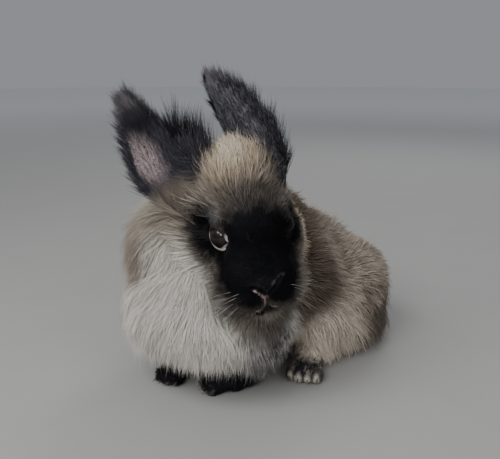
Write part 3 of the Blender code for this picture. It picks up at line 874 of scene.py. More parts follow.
def tuft_mesh(name, lines, outs, wide, flat, seed, rings):
    """Closed three-sided tapered tufts along the given lines, as one mesh.

    Each carries its place on the bake, a random number and the share of the way to its tip.
    """
    count = len(outs)
    draw = np.random.default_rng(seed)
    body = len(rings) - 1
    corners = 3 * body + 1
    places = np.empty((count, corners, 3))
    lights = np.empty_like(places)
    shade = np.empty((count, corners))
    laid = np.empty((count, corners, 2))
    marks = TUFT_ON_BAKE * np.array([(math.cos(one), math.sin(one)) for one in TUFT_TURNS])
    for ring in range(body):
        ahead = unit(lines[ring + 1] - lines[max(0, ring - 1)])
        across = unit(np.cross(ahead, outs))
        top = np.cross(across, ahead)
        breadth = (wide * TUFT_BREADTHS[min(ring, 2)] * MM)[:, None]
        first = 3 * ring
        places[:, first] = lines[ring] + top * breadth * TUFT_DEPTH
        places[:, first + 1] = lines[ring] + across * breadth * 0.5
        places[:, first + 2] = lines[ring] - across * breadth * 0.5
        lights[:, first] = unit(top + 0.2 * outs)
        lights[:, first + 1] = unit(0.75 * across + 0.8 * outs)
        lights[:, first + 2] = unit(0.8 * outs - 0.75 * across)
        shade[:, first : first + 3] = rings[ring]
        laid[:, first : first + 3] = flat[:, None, :] + marks * (1.0 - 0.5 * rings[ring])
    places[:, -1] = lines[-1]
    lights[:, -1] = outs
    shade[:, -1] = 1.0
    laid[:, -1] = flat
    every = (tuft_faces(body)[None] + (np.arange(count) * corners)[:, None, None]).reshape(-1, 3)
    mesh = mesh_from(name, places.reshape(-1, 3), every)
    mesh.shade_smooth()
    chance = mesh.attributes.new("chance", "FLOAT", "POINT")
    chance.data.foreach_set("value", np.repeat(draw.random(count), corners).astype(np.float32))
    tip = mesh.attributes.new("tip", "FLOAT", "POINT")
    tip.data.foreach_set("value", shade.ravel().astype(np.float32))
    layer = mesh.uv_layers.new(name="OFBake")
    layer.data.foreach_set("uv", laid.reshape(-1, 2)[every.ravel()].astype(np.float32).ravel())
    mesh.normals_split_custom_set_from_vertices(lights.reshape(-1, 3).astype(np.float32))
    return mesh


class Nodes:
    """The nodes of one new material."""

    def __init__(self, name):
        self.material = bpy.data.materials.new(name)
        self.material.use_nodes = True
        self.tree = self.material.node_tree
        self.tree.nodes.clear()

    def make(self, kind, settings=None, inputs=None, output=0):
        """A node of a type, with its settings made first and then its inputs, as one of its outputs."""
        node = self.tree.nodes.new(kind)
        for name, value in (settings or {}).items():
            setattr(node, name, value)
        for name, value in (inputs or {}).items():
            socket = node.inputs[name]
            if isinstance(value, Wire):
                self.tree.links.new(value.socket, socket)
            elif isinstance(value, (int, float)) and socket.type in ("VECTOR", "RGBA"):
                socket.default_value = (value,) * len(socket.default_value)
            elif socket.type == "RGBA":
                socket.default_value = (*value[:3], 1.0)
            else:
                socket.default_value = value
        return Wire(self, node.outputs[output])

    def mix(self, under, over, share):
        """One colour with another laid over it by a share."""
        return self.make("ShaderNodeMix", {"data_type": "RGBA"}, {0: share, 6: under, 7: over}, 2)

    def finish(self, settings):
        """The material with one Principled shader that takes these inputs."""
        shader = self.make("ShaderNodeBsdfPrincipled", {}, settings)
        output = self.tree.nodes.new("ShaderNodeOutputMaterial")
        self.tree.links.new(shader.socket, output.inputs["Surface"])
        return self.material


class Wire:
    """A socket that can stand in a sum, which then adds the nodes that work it out."""

    def __init__(self, nodes, socket):
        self.nodes, self.socket = nodes, socket

    def _pair(self, operation, first, second):
        kind = "ShaderNodeVectorMath" if self.socket.type in ("VECTOR", "RGBA") else "ShaderNodeMath"
        return self.nodes.make(kind, {"operation": operation}, {0: first, 1: second})

    def __add__(self, other):
        return self._pair("ADD", self, other)

    def __radd__(self, other):
        return self._pair("ADD", other, self)

    def __sub__(self, other):
        return self._pair("SUBTRACT", self, other)

    def __rsub__(self, other):
        return self._pair("SUBTRACT", other, self)

    def __mul__(self, other):
        return self._pair("MULTIPLY", self, other)

    def __rmul__(self, other):
        return self._pair("MULTIPLY", other, self)

    def __truediv__(self, other):
        return self._pair("DIVIDE", self, other)

    def most(self, other):
        return self._pair("MAXIMUM", self, other)

    def dot(self, way):
        settings = {"operation": "DOT_PRODUCT"}
        return self.nodes.make("ShaderNodeVectorMath", settings, {0: self, 1: way}, "Value")

    def length(self):
        return self.nodes.make("ShaderNodeVectorMath", {"operation": "LENGTH"}, {0: self}, "Value")

    def ease(self, low, high):
        """0 under low and 1 over high, and smooth between them."""
        inputs = {"Value": self, "From Min": low, "From Max": high}
        return self.nodes.make("ShaderNodeMapRange", {"interpolation_type": "SMOOTHSTEP"}, inputs)

    def under(self, over, share):
        """This colour with another laid over it by a share."""
        return self.nodes.mix(self, over, share)

    def times(self, share):
        """This colour made darker or lighter by a number."""
        grey = self.nodes.make("ShaderNodeCombineColor", {}, {0: share, 1: share, 2: share})
        settings = {"data_type": "RGBA", "blend_type": "MULTIPLY"}
        return self.nodes.make("ShaderNodeMix", settings, {0: 1.0, 6: self, 7: grey}, 2)


def tone(red, green, blue, gain=1.75):
    """A linear colour of a surface from how it looks in the studio's light, of 0 to 255."""
    made = []
    for one in (red, green, blue):
        share = one / 255.0
        linear = share / 12.92 if share <= 0.04045 else ((share + 0.055) / 1.055) ** 2.4
        made.append(min(0.9, gain * linear))
    return tuple(made)


def place_of(nodes):
    """The place on the surface in the tables' frame, in millimetres."""
    here = nodes.make("ShaderNodeTexCoord", {}, {}, "Object")
    return (here - tuple(SHIFT)) * (1.0 / MM)


def within(nodes, place, matrix):
    """A place in a turned frame of its own, in millimetres."""
    spin = matrix.to_3x3()
    from_root = place - tuple(matrix.translation / MM)
    parts = [from_root.dot(tuple(spin.col[axis])) for axis in range(3)]
    return nodes.make("ShaderNodeCombineXYZ", {}, {0: parts[0], 1: parts[1], 2: parts[2]})


def ball(place, at, radii, low, high):
    """1 within a rounded region and 0 outside, with an edge between two shares of its half sizes."""
    return 1.0 - ((place - at) / radii).length().ease(low, high)


def noise(nodes, place, size, detail=3.0, output=0):
    """A noise whose lumps are about the given size in millimetres."""
    inputs = {"Vector": place, "Scale": 1.0 / size, "Detail": detail, "Roughness": 0.6}
    return nodes.make("ShaderNodeTexNoise", {}, inputs, output)


# Markings, laid over each other in turn: colour (or the name of one that a user may change), place, half
# sizes, where the soft edge starts and ends as shares of them, and how much it covers.
BACK_MARKS = [
    ((84, 73, 60), (3, 62, 104), (60, 76, 52), 0.6, 1.15, 0.9),
    ((136, 127, 117), (42, 128, 62), (40, 34, 34), 0.4, 1.2, 0.6),
]
# The same of the body's sides, with how far out of the middle each one lies in place of its x.
SIDE_MARKS = [
    ("brown", (58, 56, 66), (30, 26, 40), 0.5, 1.25, 0.85),
    ((74, 66, 60), (62, 128, 20), (34, 40, 20), 0.6, 1.2, 0.8),
    # Pale lower sides: partly paler fur and partly painted light that lifts the shade near the floor.
    ((184, 174, 161), (56, 74, 22), (34, 36, 26), 0.5, 1.2, 0.85),
]
BELLY_AND_TAIL_MARKS = [
    ((128, 122, 114), (3, 75, 0), (40, 70, 16), 0.6, 1.2, 0.8),
    ((66, 60, 55), (3, 172, 42), (24, 20, 26), 0.7, 1.2, 0.8),
]
# The bib: three rounded regions with their soft edges, and the grey-brown fur of the right shoulder that
# interrupts it.
BIB = [
    ((10, 2, 48), (62, 40, 62), 0.82, 1.12),
    ((-16, 12, 86), (42, 34, 34), 0.8, 1.15),
    ((44, 14, 34), (26, 34, 34), 0.8, 1.15),
]
SHOULDER = ((-38, 4, 80), (21, 21, 27), 0.7, 1.2)
THROAT_MARK = ((120, 113, 102), (-17, 7, 106), (34, 24, 19), 0.5, 1.3, 0.9)
# Along the bib's left edge: a broad grey that is partly dark hairs and partly painted shadow, and flecks of
# dark hairs in two regions.
BIB_SHADOW_AND_DARK_HAIRS = ((54, 8, 36), (19, 26, 32), 0.4, 1.15)
BIB_FLECKS = [
    ((62, 20, 26), (13, 18, 26), 0.6, 1.25),
    ((50, 4, 15), (22, 22, 11), 0.6, 1.25),
]
# Markings of the head, in its own frame.
CROWN_MARKS = [
    ((108, 99, 90), (0, 12, 24), (38, 36, 34), 0.8, 1.15, 0.95),
    ((140, 127, 110), (-5, 4, 52), (19, 30, 27), 0.5, 1.2, 0.9),
    ((64, 59, 55), (24, 8, 40), (13, 24, 24), 0.5, 1.2, 0.75),
    ("wool", (-6, 6, 60), (9.5, 18, 19), 0.25, 1.45, 1.0),
]
MASK_AT = (0, -30, 2)
# Layers of the mask from its border in: colour, half sizes, its soft edge, the share that it takes of the
# patches round the eyes, their soft edge, and how much it covers.
MASK_LAYERS = [
    ((92, 86, 80), (31, 35, 38), (1.0, 1.45), 1.0, (1.0, 1.5), 0.9),
    ((56, 51, 48), (31, 35, 38), (0.80, 1.28), 1.0, (0.8, 1.25), 1.0),
    ("mask", (29, 34, 31), (0.78, 1.14), 0.78, (0.8, 1.2), 1.0),
]
EYE_PATCHES = [((-22, -3, 7), (16, 20, 18)), ((22, -9, 5), (12, 16, 16))]
MUZZLE_MARKS = [
    ((84, 77, 70), (-2, -27, -40), (26, 24, 18), 0.55, 1.15, 0.85),
    ((112, 104, 95), (27, -27, -24), (15, 18, 14), 0.35, 1.2, 0.85),
    ((92, 86, 79), (31, -20, -12), (9, 13, 13), 0.35, 1.2, 0.5),
    ((78, 76, 76), (-24, -9, 19), (8, 8, 6), 0.3, 1.4, 0.6),
    ((34, 32, 33), (-26, 5, 5), (13, 14, 4), 0.5, 1.3, 0.8),
    ((66, 60, 56), (0, -36, -24), (17, 14, 8), 0.6, 1.2, 0.75),
    ((118, 111, 104), (1, -36, -34), (10, 10, 4.5), 0.4, 1.25, 0.7),
]
# Fine lines of the pale lip, the ridge over the left nostril, lighter by a painted highlight, and the slit of
# the mouth, dark with painted shade: colour, how much each covers, its soft edge, and place, half sizes and
# share of its two halves.
MUZZLE_LINES = [
    (
        (146, 138, 132), 0.85, (0.5, 1.3),
        ((-4.6, -40, -25.6), (4.6, 9, 1.6), 1.0), ((2, -40, -23.8), (4, 9, 1.6), 0.5),
    ),
    (
        # Painted highlight on the ridge over the left nostril.
        (70, 68, 68), 0.7, (0.4, 1.3),
        ((5.5, -43, -5.0), (2.6, 7, 1.0), 1.0), ((9, -41, -3.2), (2.6, 7, 1.0), 1.0),
    ),
    (
        # Painted shade in the slit of the mouth.
        (13, 11, 11), 1.0, (0.6, 1.2),
        ((-5.0, -38, -29.4), (5.4, 9, 2.0), 1.0), ((1, -40, -27.4), (4.6, 9, 1.6), 0.85),
    ),
]
# Bare skin of the nose and lip: its colour, soft edge and cover, and places and half sizes.
BARE_LOOK = ((150, 130, 126), 0.55, 1.15, 0.9)
NOSE_BARE = [
    ((-6.0, -45, -8.8), (1.2, 6, 0.7)),
    ((-4.9, -45, -10.0), (1.5, 6, 0.9)),
    ((-3.4, -45, -11.6), (1.5, 6, 1.1)),
    ((-1.9, -45, -13.2), (1.6, 6, 1.4)),
    ((-0.9, -45, -15.5), (2.3, 6, 3.0)),
    ((-0.8, -45, -19.5), (1.7, 6, 4.2)),
]
# Markings of the feet, in their own frames.
FOREPAW_MARKS = [((22, 21, 25), (0, -2, 4), (16, 24, 15), 0.8, 1.15, 1.0)]
HINDFOOT_MARKS = [
    ((34, 33, 36), (0, -30, 2), (17, 20, 11), 0.7, 1.15, 1.0),
    ((96, 91, 86), (0, -40, 0), (20, 10, 7), 0.3, 1.4, 0.7),
]
HIND_TOE_MARKS = [
    ((176, 170, 160), (HIND_TOES_APART * toe, -40 + abs(toe), 3), (2.5, 9, 5.5), 0.5, 1.2, 0.85)
    for toe in TOES
]


def shade_of(shade):
    """A marking's colour: one of the user's by its name, or one as it looks in the studio's light."""
    if isinstance(shade, str):
        return tuple(getattr(bpy.context.scene.rabbit_looks, shade))
    return tone(*shade)


def marked(colour, place, marks):
    """A colour with a table of markings laid over it in turn."""
    for shade, at, radii, low, high, share in marks:
        colour = colour.under(shade_of(shade), ball(place, at, radii, low, high) * share)
    return colour


def regions_of(place, regions):
    """1 within any of some rounded regions and 0 outside them, with soft edges."""
    made = ball(place, *regions[0])
    for region in regions[1:]:
        made = made.most(ball(place, *region))
    return made


def coat_colour(nodes, place):
    """The markings of the body and head, which skin and coat share."""
    ragged = (noise(nodes, place, 6.0, 5.0, "Color") - 0.5) * 14.0
    p = place + ragged
    mottle = noise(nodes, place, 16.0)
    colour = nodes.mix(tone(136, 126, 115), tone(94, 84, 75), mottle.ease(0.40, 0.62) * 0.75)
    colour = marked(colour, p, BACK_MARKS)
    for out in SIDES.values():
        marks = [(shade, (out * x + BODY_X, y, z), *rest) for shade, (x, y, z), *rest in SIDE_MARKS]
        colour = marked(colour, p, marks)
    colour = marked(colour, p, BELLY_AND_TAIL_MARKS)
    shoulder = ball(p, *SHOULDER)
    colour = colour.under(shade_of("cream"), regions_of(p, BIB) * (1.0 - shoulder))
    colour = colour.under(tone(112, 103, 94), shoulder * 0.95)
    colour = marked(colour, p, [THROAT_MARK])
    # Painted shadow mixed with dark hairs along the bib's left edge.
    colour = colour.under(tone(72, 70, 70), ball(p, *BIB_SHADOW_AND_DARK_HAIRS) * mottle.ease(0.25, 0.6) * 0.85)
    flecks = noise(nodes, place * (1.0, 1.0, 0.35), 2.2, 2.0).ease(0.40, 0.56)
    colour = colour.under(tone(44, 43, 46), regions_of(p, BIB_FLECKS) * flecks * 0.95)
    for side in SIDES:
        colour = marked(colour, within(nodes, p, foot_frame(FOREPAW_AT[side])), FOREPAW_MARKS)
        foot = foot_frame(HINDFOOT_AT[side])
        colour = marked(colour, within(nodes, p, foot), HINDFOOT_MARKS)
        colour = marked(colour, within(nodes, place + ragged * 0.12, foot), HIND_TOE_MARKS)
    ragged_h = within(nodes, p, head_frame())
    smooth_h = within(nodes, place + ragged * 0.1, head_frame())
    return head_colour(colour, ragged_h, smooth_h)


def head_colour(colour, h, fine):
    """The cream cheeks, the grey forehead, the wool between the ears and the dark mask.

    h is the place in the head's frame with ragged borders, and fine the same with nearly smooth ones.
    """
    cheek = colour.under(shade_of("cream"), 0.80)
    cheek = marked(cheek, h, [((176, 163, 143), (34, 0, 0), (22, 44, 44), 0.6, 1.1, 0.85)])
    colour = colour.under(cheek, ball(h, (0, -6, 2), (37, 48, 44), 0.9, 1.12))
    colour = marked(colour, h, CROWN_MARKS)
    for shade, radii, edge, patch, patch_edge, share in MASK_LAYERS:
        patches = [(at, [patch * one for one in size], *patch_edge) for at, size in EYE_PATCHES]
        colour = colour.under(shade_of(shade), regions_of(h, [(MASK_AT, radii, *edge), *patches]) * share)
    colour = marked(colour, h, MUZZLE_MARKS)
    for shade, share, edge, *halves in MUZZLE_LINES:
        first, second = [ball(fine, at, radii, *edge) * part for at, radii, part in halves]
        colour = colour.under(tone(*shade), first.most(second) * share)
    return colour


def ear_colour(nodes, place, side, inside):
    """Dark fur on an ear's back and edges, and a pinkish grey hollow."""
    e = within(nodes, place + (noise(nodes, place, 6.0, 3.0, "Color") - 0.5) * 5.0, ear_frame(side))
    streak = noise(nodes, e * (0.9, 0.9, 0.16), 1.0)
    velvet = tone(98, 97, 104) if side == "left" else tone(70, 69, 74)
    colour = nodes.mix(shade_of("ear"), velvet, streak.ease(0.42, 0.66) * 0.7)
    colour = marked(colour, e, [((84, 81, 83), (0, 6, 88), (16, 20, 14), 0.6, 1.3, 0.7)])
    if side == "right":
        colour = marked(colour, e, [((112, 104, 95), (8, 4, 8), (26, 26, 24), 0.75, 1.25, 0.95)])
    else:
        root = ball(e, (-12, 4, 8), (20, 24, 20), 0.6, 1.3)
        colour = colour.under(tone(86, 79, 71), root * streak.ease(0.3, 0.6))
    if inside:
        colour = marked(colour, e, [((22, 22, 26), (8, 6, 74), (26, 24, 10), 0.5, 1.3, 0.8)])
        strand = noise(nodes, e * (1.6, 1.6, 0.14), 1.0)
        hollow = ball(e, (10, 6, 50), (10, 22, 18), 0.25, 1.3) * streak.ease(0.30, 0.55)
        pink = nodes.mix(tone(112, 98, 100), tone(182, 168, 168), strand.ease(0.40, 0.62))
        colour = colour.under(pink, hollow)
    return colour


def coat_material(name, colour_of, change=0.66, painted_root_shade=0.50):
    """Fur: each tuft is a little lighter or darker at random, and darker towards its root by painted shade."""
    nodes = Nodes(name)
    place = place_of(nodes)
    chance = nodes.make("ShaderNodeAttribute", {"attribute_name": "chance"}, {}, "Fac")
    tip = nodes.make("ShaderNodeAttribute", {"attribute_name": "tip"}, {}, "Fac")
    # Painted shade: the last factor darkens each tuft towards its root, over its own random tone.
    light = (chance * change + (1.0 - 0.5 * change)) * (tip.ease(-0.2, 0.8) * painted_root_shade + (1.06 - painted_root_shade))
    colour = colour_of(nodes, place).times(light)
    return nodes.finish({"Base Color": colour, "Roughness": 0.62, "Specular IOR Level": 0.10})


def skin_material(name, colour_of, share=0.55):
    """Skin under the fur, in the coat's own markings darkened by painted shade of the fur over it, with fine
    bumps of short fur.
    """
    nodes = Nodes(name)
    place = place_of(nodes)
    fine = noise(nodes, place, 0.5, 2.0)
    # Painted shade: share sets how much of the coat's colour stays on the skin under the fur, varied by fine
    # noise.
    colour = colour_of(nodes, place).times(fine * 0.5 + (share - 0.2))
    bump = nodes.make("ShaderNodeBump", {}, {"Strength": 0.5, "Distance": 0.0004, "Height": fine})
    return nodes.finish({"Base Color": colour, "Roughness": 0.75, "Specular IOR Level": 0.2, "Normal": bump})


def nose_colour(nodes, place):
    """The body's markings with the bare pinkish edges of the nostrils, cleft and lip."""
    h = within(nodes, place, head_frame())
    shade, low, high, share = BARE_LOOK
    marks = [(shade, at, radii, low, high, share) for at, radii in NOSE_BARE]
    return marked(coat_colour(nodes, place), h, marks)


# The mesh of an ear's cup: rows and columns, how far up its length it goes, and its wall's half thickness.
EAR_ROWS, EAR_COLUMNS, EAR_TOP, EAR_WALL = 64, 34, 0.985, 0.55


def join_ears(skin):
    """Adds both ears to the skin as thin cups with materials of their own."""
    shape = bmesh.new()
    shape.from_mesh(skin.data)
    across = np.linspace(-1.0, 1.0, EAR_COLUMNS + 1)
    wall = EAR_WALL * MM * (0.25 + 0.75 * (1.0 - np.abs(across) ** 6))[:, None]
    for number, side in enumerate(SIDES):
        grid = []
        for row in range(EAR_ROWS + 1):
            place, back = ear_points(side, np.full(EAR_COLUMNS + 1, EAR_TOP * row / EAR_ROWS), across)
            layers = [place + back * wall, place - back * wall]
            grid.append([[shape.verts.new(one) for one in layer] for layer in layers])
        faces = []
        for row in range(EAR_ROWS):
            for layer in (0, 1):
                low, high = grid[row][layer], grid[row + 1][layer]
                for one in range(EAR_COLUMNS):
                    corners = (low[one], low[one + 1], high[one + 1], high[one])
                    faces.append((corners if layer == 0 else corners[::-1], layer))
            for end in (0, EAR_COLUMNS):
                a, b = grid[row][0][end], grid[row][1][end]
                c, d = grid[row + 1][1][end], grid[row + 1][0][end]
                faces.append(((a, d, c, b) if end else (a, b, c, d), 0))
        for row in (0, EAR_ROWS):
            for one in range(EAR_COLUMNS):
                a, b = grid[row][0][one], grid[row][0][one + 1]
                c, d = grid[row][1][one + 1], grid[row][1][one]
                faces.append(((a, b, c, d) if row else (d, c, b, a), 0))
        for corners, layer in faces:
            shape.faces.new(corners).material_index = 1 + 2 * number + layer
    shape.normal_update()
    shape.to_mesh(skin.data)
    shape.free()


def put_in_place(obj):
    """Moves a finished mesh from the tables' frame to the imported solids' frame."""
    obj.data.transform(Matrix.Translation(SHIFT))


# Groups of tufts on an ear: how many, shares along and across, the way in the ear's frame, how far
# they turn up, length, rise, width, whether they stand inside the cup (or, for None, on its edge), and
# of how many one leads a clump.
EAR_GROUPS = {
    "both": [
        (4200, (0.10, 0.98), (-1.0, 1.0), (0.0, 0.0, 1.0), 0.0, 8.0, 1.0, 0.32, False, 6),
        (3000, (0.30, 0.97), (-1.0, 1.0), (0.0, 0.1, 1.0), 0.0, 7.0, 1.2, 0.26, True, 6),
        (1400, (0.20, 0.80), (-0.9, 0.9), (0.0, 0.4, 1.0), 0.0, 13.0, 3.0, 0.22, True, 5),
        (1500, (0.20, 0.98), (0.88, 1.0), (0.0, 0.0, 1.0), 0.0, 13.0, 5.5, 0.24, None, 4),
        (1500, (0.20, 0.98), (-1.0, -0.88), (0.0, 0.0, 1.0), 0.0, 13.0, 5.5, 0.24, None, 4),
        (900, (0.84, 0.99), (-0.9, 0.9), (0.0, 0.05, 1.0), 0.0, 15.0, 2.0, 0.24, None, 6),
    ],
    "right": [
        (1500, (0.12, 0.36), (-0.2, 1.0), (0.3, 0.0, 0.9), 0.0, 17.0, 6.0, 0.28, None, 6),
        (900, (0.12, 0.30), (-0.3, 1.0), (0.2, 0.3, 0.9), 0.0, 15.0, 6.0, 0.28, True, 6),
        (1500, (0.12, 0.60), (-1.0, -0.45), (-0.10, 0.1, 0.6), 1.0, 28.0, 3.0, 0.32, None, 7),
        (900, (0.72, 0.99), (-1.0, 1.0), (0.0, 0.2, 1.0), 0.0, 11.0, 1.6, 0.24, True, 5),
        (700, (0.12, 0.50), (-1.0, -0.60), (-0.10, 0.3, 0.6), 0.8, 22.0, 3.0, 0.30, True, 8),
        (260, (0.20, 0.42), (-0.8, -0.2), (0.9, 0.5, 0.7), 0.0, 17.0, 5.0, 0.20, True, 4),
    ],
    "left": [
        (700, (0.10, 0.40), (0.55, 1.0), (0.25, 0.1, 0.6), 0.7, 17.0, 5.0, 0.32, None, 9),
        (700, (0.12, 0.55), (-1.0, -0.60), (-0.15, 0.1, 0.6), 0.6, 18.0, 4.0, 0.32, None, 9),
        (1100, (0.35, 0.80), (0.80, 1.0), (0.2, 0.0, 1.0), 0.0, 15.0, 8.0, 0.24, None, 5),
        (1300, (0.35, 0.88), (-1.0, -0.80), (-0.2, 0.0, 1.0), 0.0, 17.0, 9.0, 0.24, None, 5),
    ],
}


# About a quarter of a turn, in radians: a tuft on an ear rises as its sine does.
EAR_TUFT_RISES = 1.57


def ear_tufts(side, seed):
    """The middle lines, out ways, widths, bake places and inside marks of all the tufts on an ear."""
    draw = np.random.default_rng(seed)
    rings = SHORT_RINGS
    gathered = []
    for row in EAR_GROUPS["both"] + EAR_GROUPS[side]:
        count, alongs, acrosses, way, up, long, high, wide, stands, clump = row
        inside = stands is True
        along = draw.uniform(*alongs, count)
        across = draw.uniform(*acrosses, count)
        place, back = ear_points(side, along, across)
        edge = unit(np.cross(np.array(ear_frame(side).col[2][:3]), back)) * np.sign(across)[:, None]
        out = {None: edge, True: -back, False: back}[stands]
        aim = unit(turned(ear_frame(side), np.array([way]))[0] + np.array([0.0, 0.0, up]))
        aim = unit(aim + draw.normal(0.0, 0.15, (count, 3)) + 0.10 * waves(place, 0.007, seed)[:, None] * out)
        length = long * draw.uniform(0.45, 1.15, count) * MM
        rise = high * draw.uniform(0.3, 1.2, count) * MM
        lines = [place + out * 0.2 * MM]
        for share in rings[1:]:
            over = (rise * math.sin(EAR_TUFT_RISES * share))[:, None]
            lines.append(lines[0] + aim * (length * share)[:, None] + out * over)
        group = clumps(place, draw, clump)
        for number, share in enumerate(rings[1:], 1):
            leaned = lines[number][group] + 0.35 * (place - place[group])
            lines[number] = lines[number] + 0.6 * share * (leaned - lines[number])
        # The tufts inside the cup lie on the right half of the bake, and all others on its left half.
        flat = np.stack((0.05 + 0.2 * (across + 1.0) + 0.5 * inside, 0.05 + 0.9 * along), axis=1)
        gathered.append((lines, out, np.full(count, wide), flat, np.full(count, inside)))
    lines = [np.concatenate([group[0][ring] for group in gathered]) for ring in range(len(rings))]
    return lines, *[np.concatenate([group[part] for group in gathered]) for part in range(1, 5)]


# The parts of the body's coat: slot, and the parts of the body that each is rooted on.
COAT_PARTS = {
    "coat_head": ("dark_coat", ["head"]),
    "coat_ruff": ("cream_coat", ["neck"]),
    "coat_torso": ("grey_brown_coat", ["torso"]),
    "coat_haunch_left": ("grey_brown_coat", ["haunch_left"]),
    "coat_haunch_right": ("grey_brown_coat", ["haunch_right"]),
    "coat_forelegs": ("dark_coat", ["foreleg_left", "foreleg_right"]),
    "coat_hind_feet": ("dark_coat", ["foot_left", "foot_right"]),
    "coat_tail": ("grey_brown_coat", ["tail"]),
}
# Shares of a tuft's length at its rings and tip, the length from which it is a long one, and the fewest
# tufts and the most triangles of a piece.
SHORT_RINGS = (0.0, 0.5, 1.0)
LONG_RINGS = (0.0, 0.3, 0.65, 1.0)
LONG_FROM = 19.0
LEAST_TUFTS, MOST_FACES = 20, 190000
# The first of the random seeds that the roots, the body's pieces and the ears start from.
ROOTS_SEED, BODY_SEED, EARS_SEED = 5, 11, 31


def laid_out_skin():
    """A copy of the skin's mesh in the tables' frame, and a tree of its faces without the ears."""
    mesh = bpy.data.objects["skin"].data.copy()
    mesh.transform(Matrix.Translation(-SHIFT))
    body = [tuple(face.vertices) for face in mesh.polygons if face.material_index == 0]
    return mesh, BVHTree.FromPolygons(places_of(mesh).tolist(), body)


def build_body_coat():
    """Roots tufts all over the skin and makes the coat's pieces, part by part."""
    mesh, tree = laid_out_skin()
    share = bpy.context.scene.rabbit_sizes.coat_share
    roots, outs, flat = scattered(mesh, ROOTS_SEED, share)
    bpy.data.meshes.remove(mesh)
    shares = shares_of(roots)
    fields = coat_fields(roots, shares)
    names = list(shares)
    strongest = np.argmax(np.stack([shares[name] for name in names]), axis=0)
    coat = coat_material("coat", coat_colour)
    # The ruff has less random tone and weaker painted shade at its roots.
    ruff = coat_material("coat_ruff", coat_colour, 0.30, 0.28)
    for number, (name, (slot, parts)) in enumerate(COAT_PARTS.items()):
        chosen = np.isin(strongest, [names.index(part) for part in parts])
        for rings, kind, held in (
            (SHORT_RINGS, "short", chosen & (fields["length"] < LONG_FROM)),
            (LONG_RINGS, "long", chosen & (fields["length"] >= LONG_FROM)),
        ):
            ones = np.nonzero(held)[0]
            if len(ones) < LEAST_TUFTS:
                continue
            some = {key: value[ones] for key, value in fields.items()}
            lines = tufts_along(roots[ones], outs[ones], some, tree, BODY_SEED + number, rings)
            material = ruff if name == "coat_ruff" else coat
            build_tufts(f"{name}_{kind}", slot, material, lines, outs[ones], some["wide"], flat[ones], rings)


def build_tufts(name, slot, material, lines, outs, wide, flat, rings):
    """Makes one or more coat pieces of these tufts, from one side of the body to the other."""
    pieces = math.ceil(len(outs) * len(tuft_faces(len(rings) - 1)) / MOST_FACES)
    order = np.argsort(lines[0][:, 0], kind="stable")
    for number, ones in enumerate(np.array_split(order, pieces), 1):
        own = name if pieces == 1 else f"{name}_{number}"
        some = [line[ones] for line in lines]
        mesh = tuft_mesh(own, some, outs[ones], wide[ones], flat[ones], number, rings)
        mesh.materials.append(material)
        put_in_place(new_object(own, mesh, slot))


def build_ear_coats():
    """The fur on the backs, edges and insides of both ears."""
    for number, side in enumerate(SIDES):
        lines, outs, wide, flat, inside = ear_tufts(side, EARS_SEED + number)
        for held, kind in ((~inside, "outside"), (inside, "inside")):
            ones = np.nonzero(held)[0]
            name = f"coat_ear_{side}_{kind}"
            material = coat_material(name, ear_markings(side, kind == "inside"))
            some = [line[ones] for line in lines]
            build_tufts(name, "dark_coat", material, some, outs[ones], wide[ones], flat[ones], SHORT_RINGS)


def ear_markings(side, inside):
    """The colours of one side of one ear, as a function of its material's nodes and place."""
    return lambda nodes, place: ear_colour(nodes, place, side, inside)


def build_skin():
    """The one skin of the body, head and ears."""
    skin = make_skin_mesh()
    skin.data.materials.clear()
    skin.data.materials.append(skin_material("skin", nose_colour))
    join_ears(skin)
    for side in SIDES:
        skin.data.materials.append(skin_material(f"ear_{side}_back", ear_markings(side, False)))
        skin.data.materials.append(skin_material(f"ear_{side}_hollow", ear_markings(side, True), 0.7))
    skin.data.shade_smooth()
    unwrap(skin)
    put_in_place(skin)
    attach(skin, "root")
    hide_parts(*FLESH)


# The eyeball: how far the cornea stands over its round, and the degrees from its middle that it reaches.
CORNEA_RAISED, CORNEA_TO = 0.55, 52.0
# How plainly the white shows at each eye's front corner, and how pale the rim of its lids is.
WHITE_SHOWS = {"right": 1.0, "left": 0.3}
RIM_SHOWS = {"right": 0.9, "left": 0.0}


def cornea_share(degrees):
    """How much of its full height the cornea has at an angle from its middle."""
    return 1.0 - ease(degrees, 0.0, CORNEA_TO)


def eye_material(side):
    """A dark brown iris round a wide pupil, with a bit of white, under a clear coat that is wet above."""
    nodes = Nodes(f"eye_{side}")
    out, ahead, above = eye_axes(side)
    from_middle = place_of(nodes) - tuple(eye_place(side) / MM)
    facing = from_middle.dot(tuple(out)) / from_middle.length()
    parts = {0: from_middle.dot(tuple(ahead)), 1: from_middle.dot(tuple(above)), 2: from_middle.length() * 0.2}
    spokes = nodes.make("ShaderNodeCombineXYZ", {}, parts)
    spokes = nodes.make("ShaderNodeVectorMath", {"operation": "NORMALIZE"}, {0: spokes})
    streak = noise(nodes, spokes, 0.12, 4.0)
    iris = nodes.mix(shade_of("iris"), tone(32, 20, 15), streak.ease(0.40, 0.66) * 0.7)
    iris = iris.under(tone(12, 8, 7), 1.0 - facing.ease(0.60, 0.78))
    to_corner = from_middle.dot(tuple(0.86 * ahead - 0.5 * above))
    white = to_corner.ease(4.7, 5.6) * (1.0 - facing.ease(0.66, 0.78))
    iris = iris.under(tone(150, 138, 136), white * WHITE_SHOWS[side])
    pupil = (0.004, 0.003, 0.003)
    wet = 1.0 - 0.86 * (1.0 - from_middle.dot(tuple(above)).ease(-1.5, 2.0))
    settings = {
        "Base Color": iris.under(pupil, facing.ease(0.84, 0.90)),
        "Roughness": 0.25,
        "Specular IOR Level": 0.0,
        "Coat Weight": wet,
        "Coat IOR": 1.45,
        "Coat Roughness": 0.03,
    }
    return nodes.finish(settings)


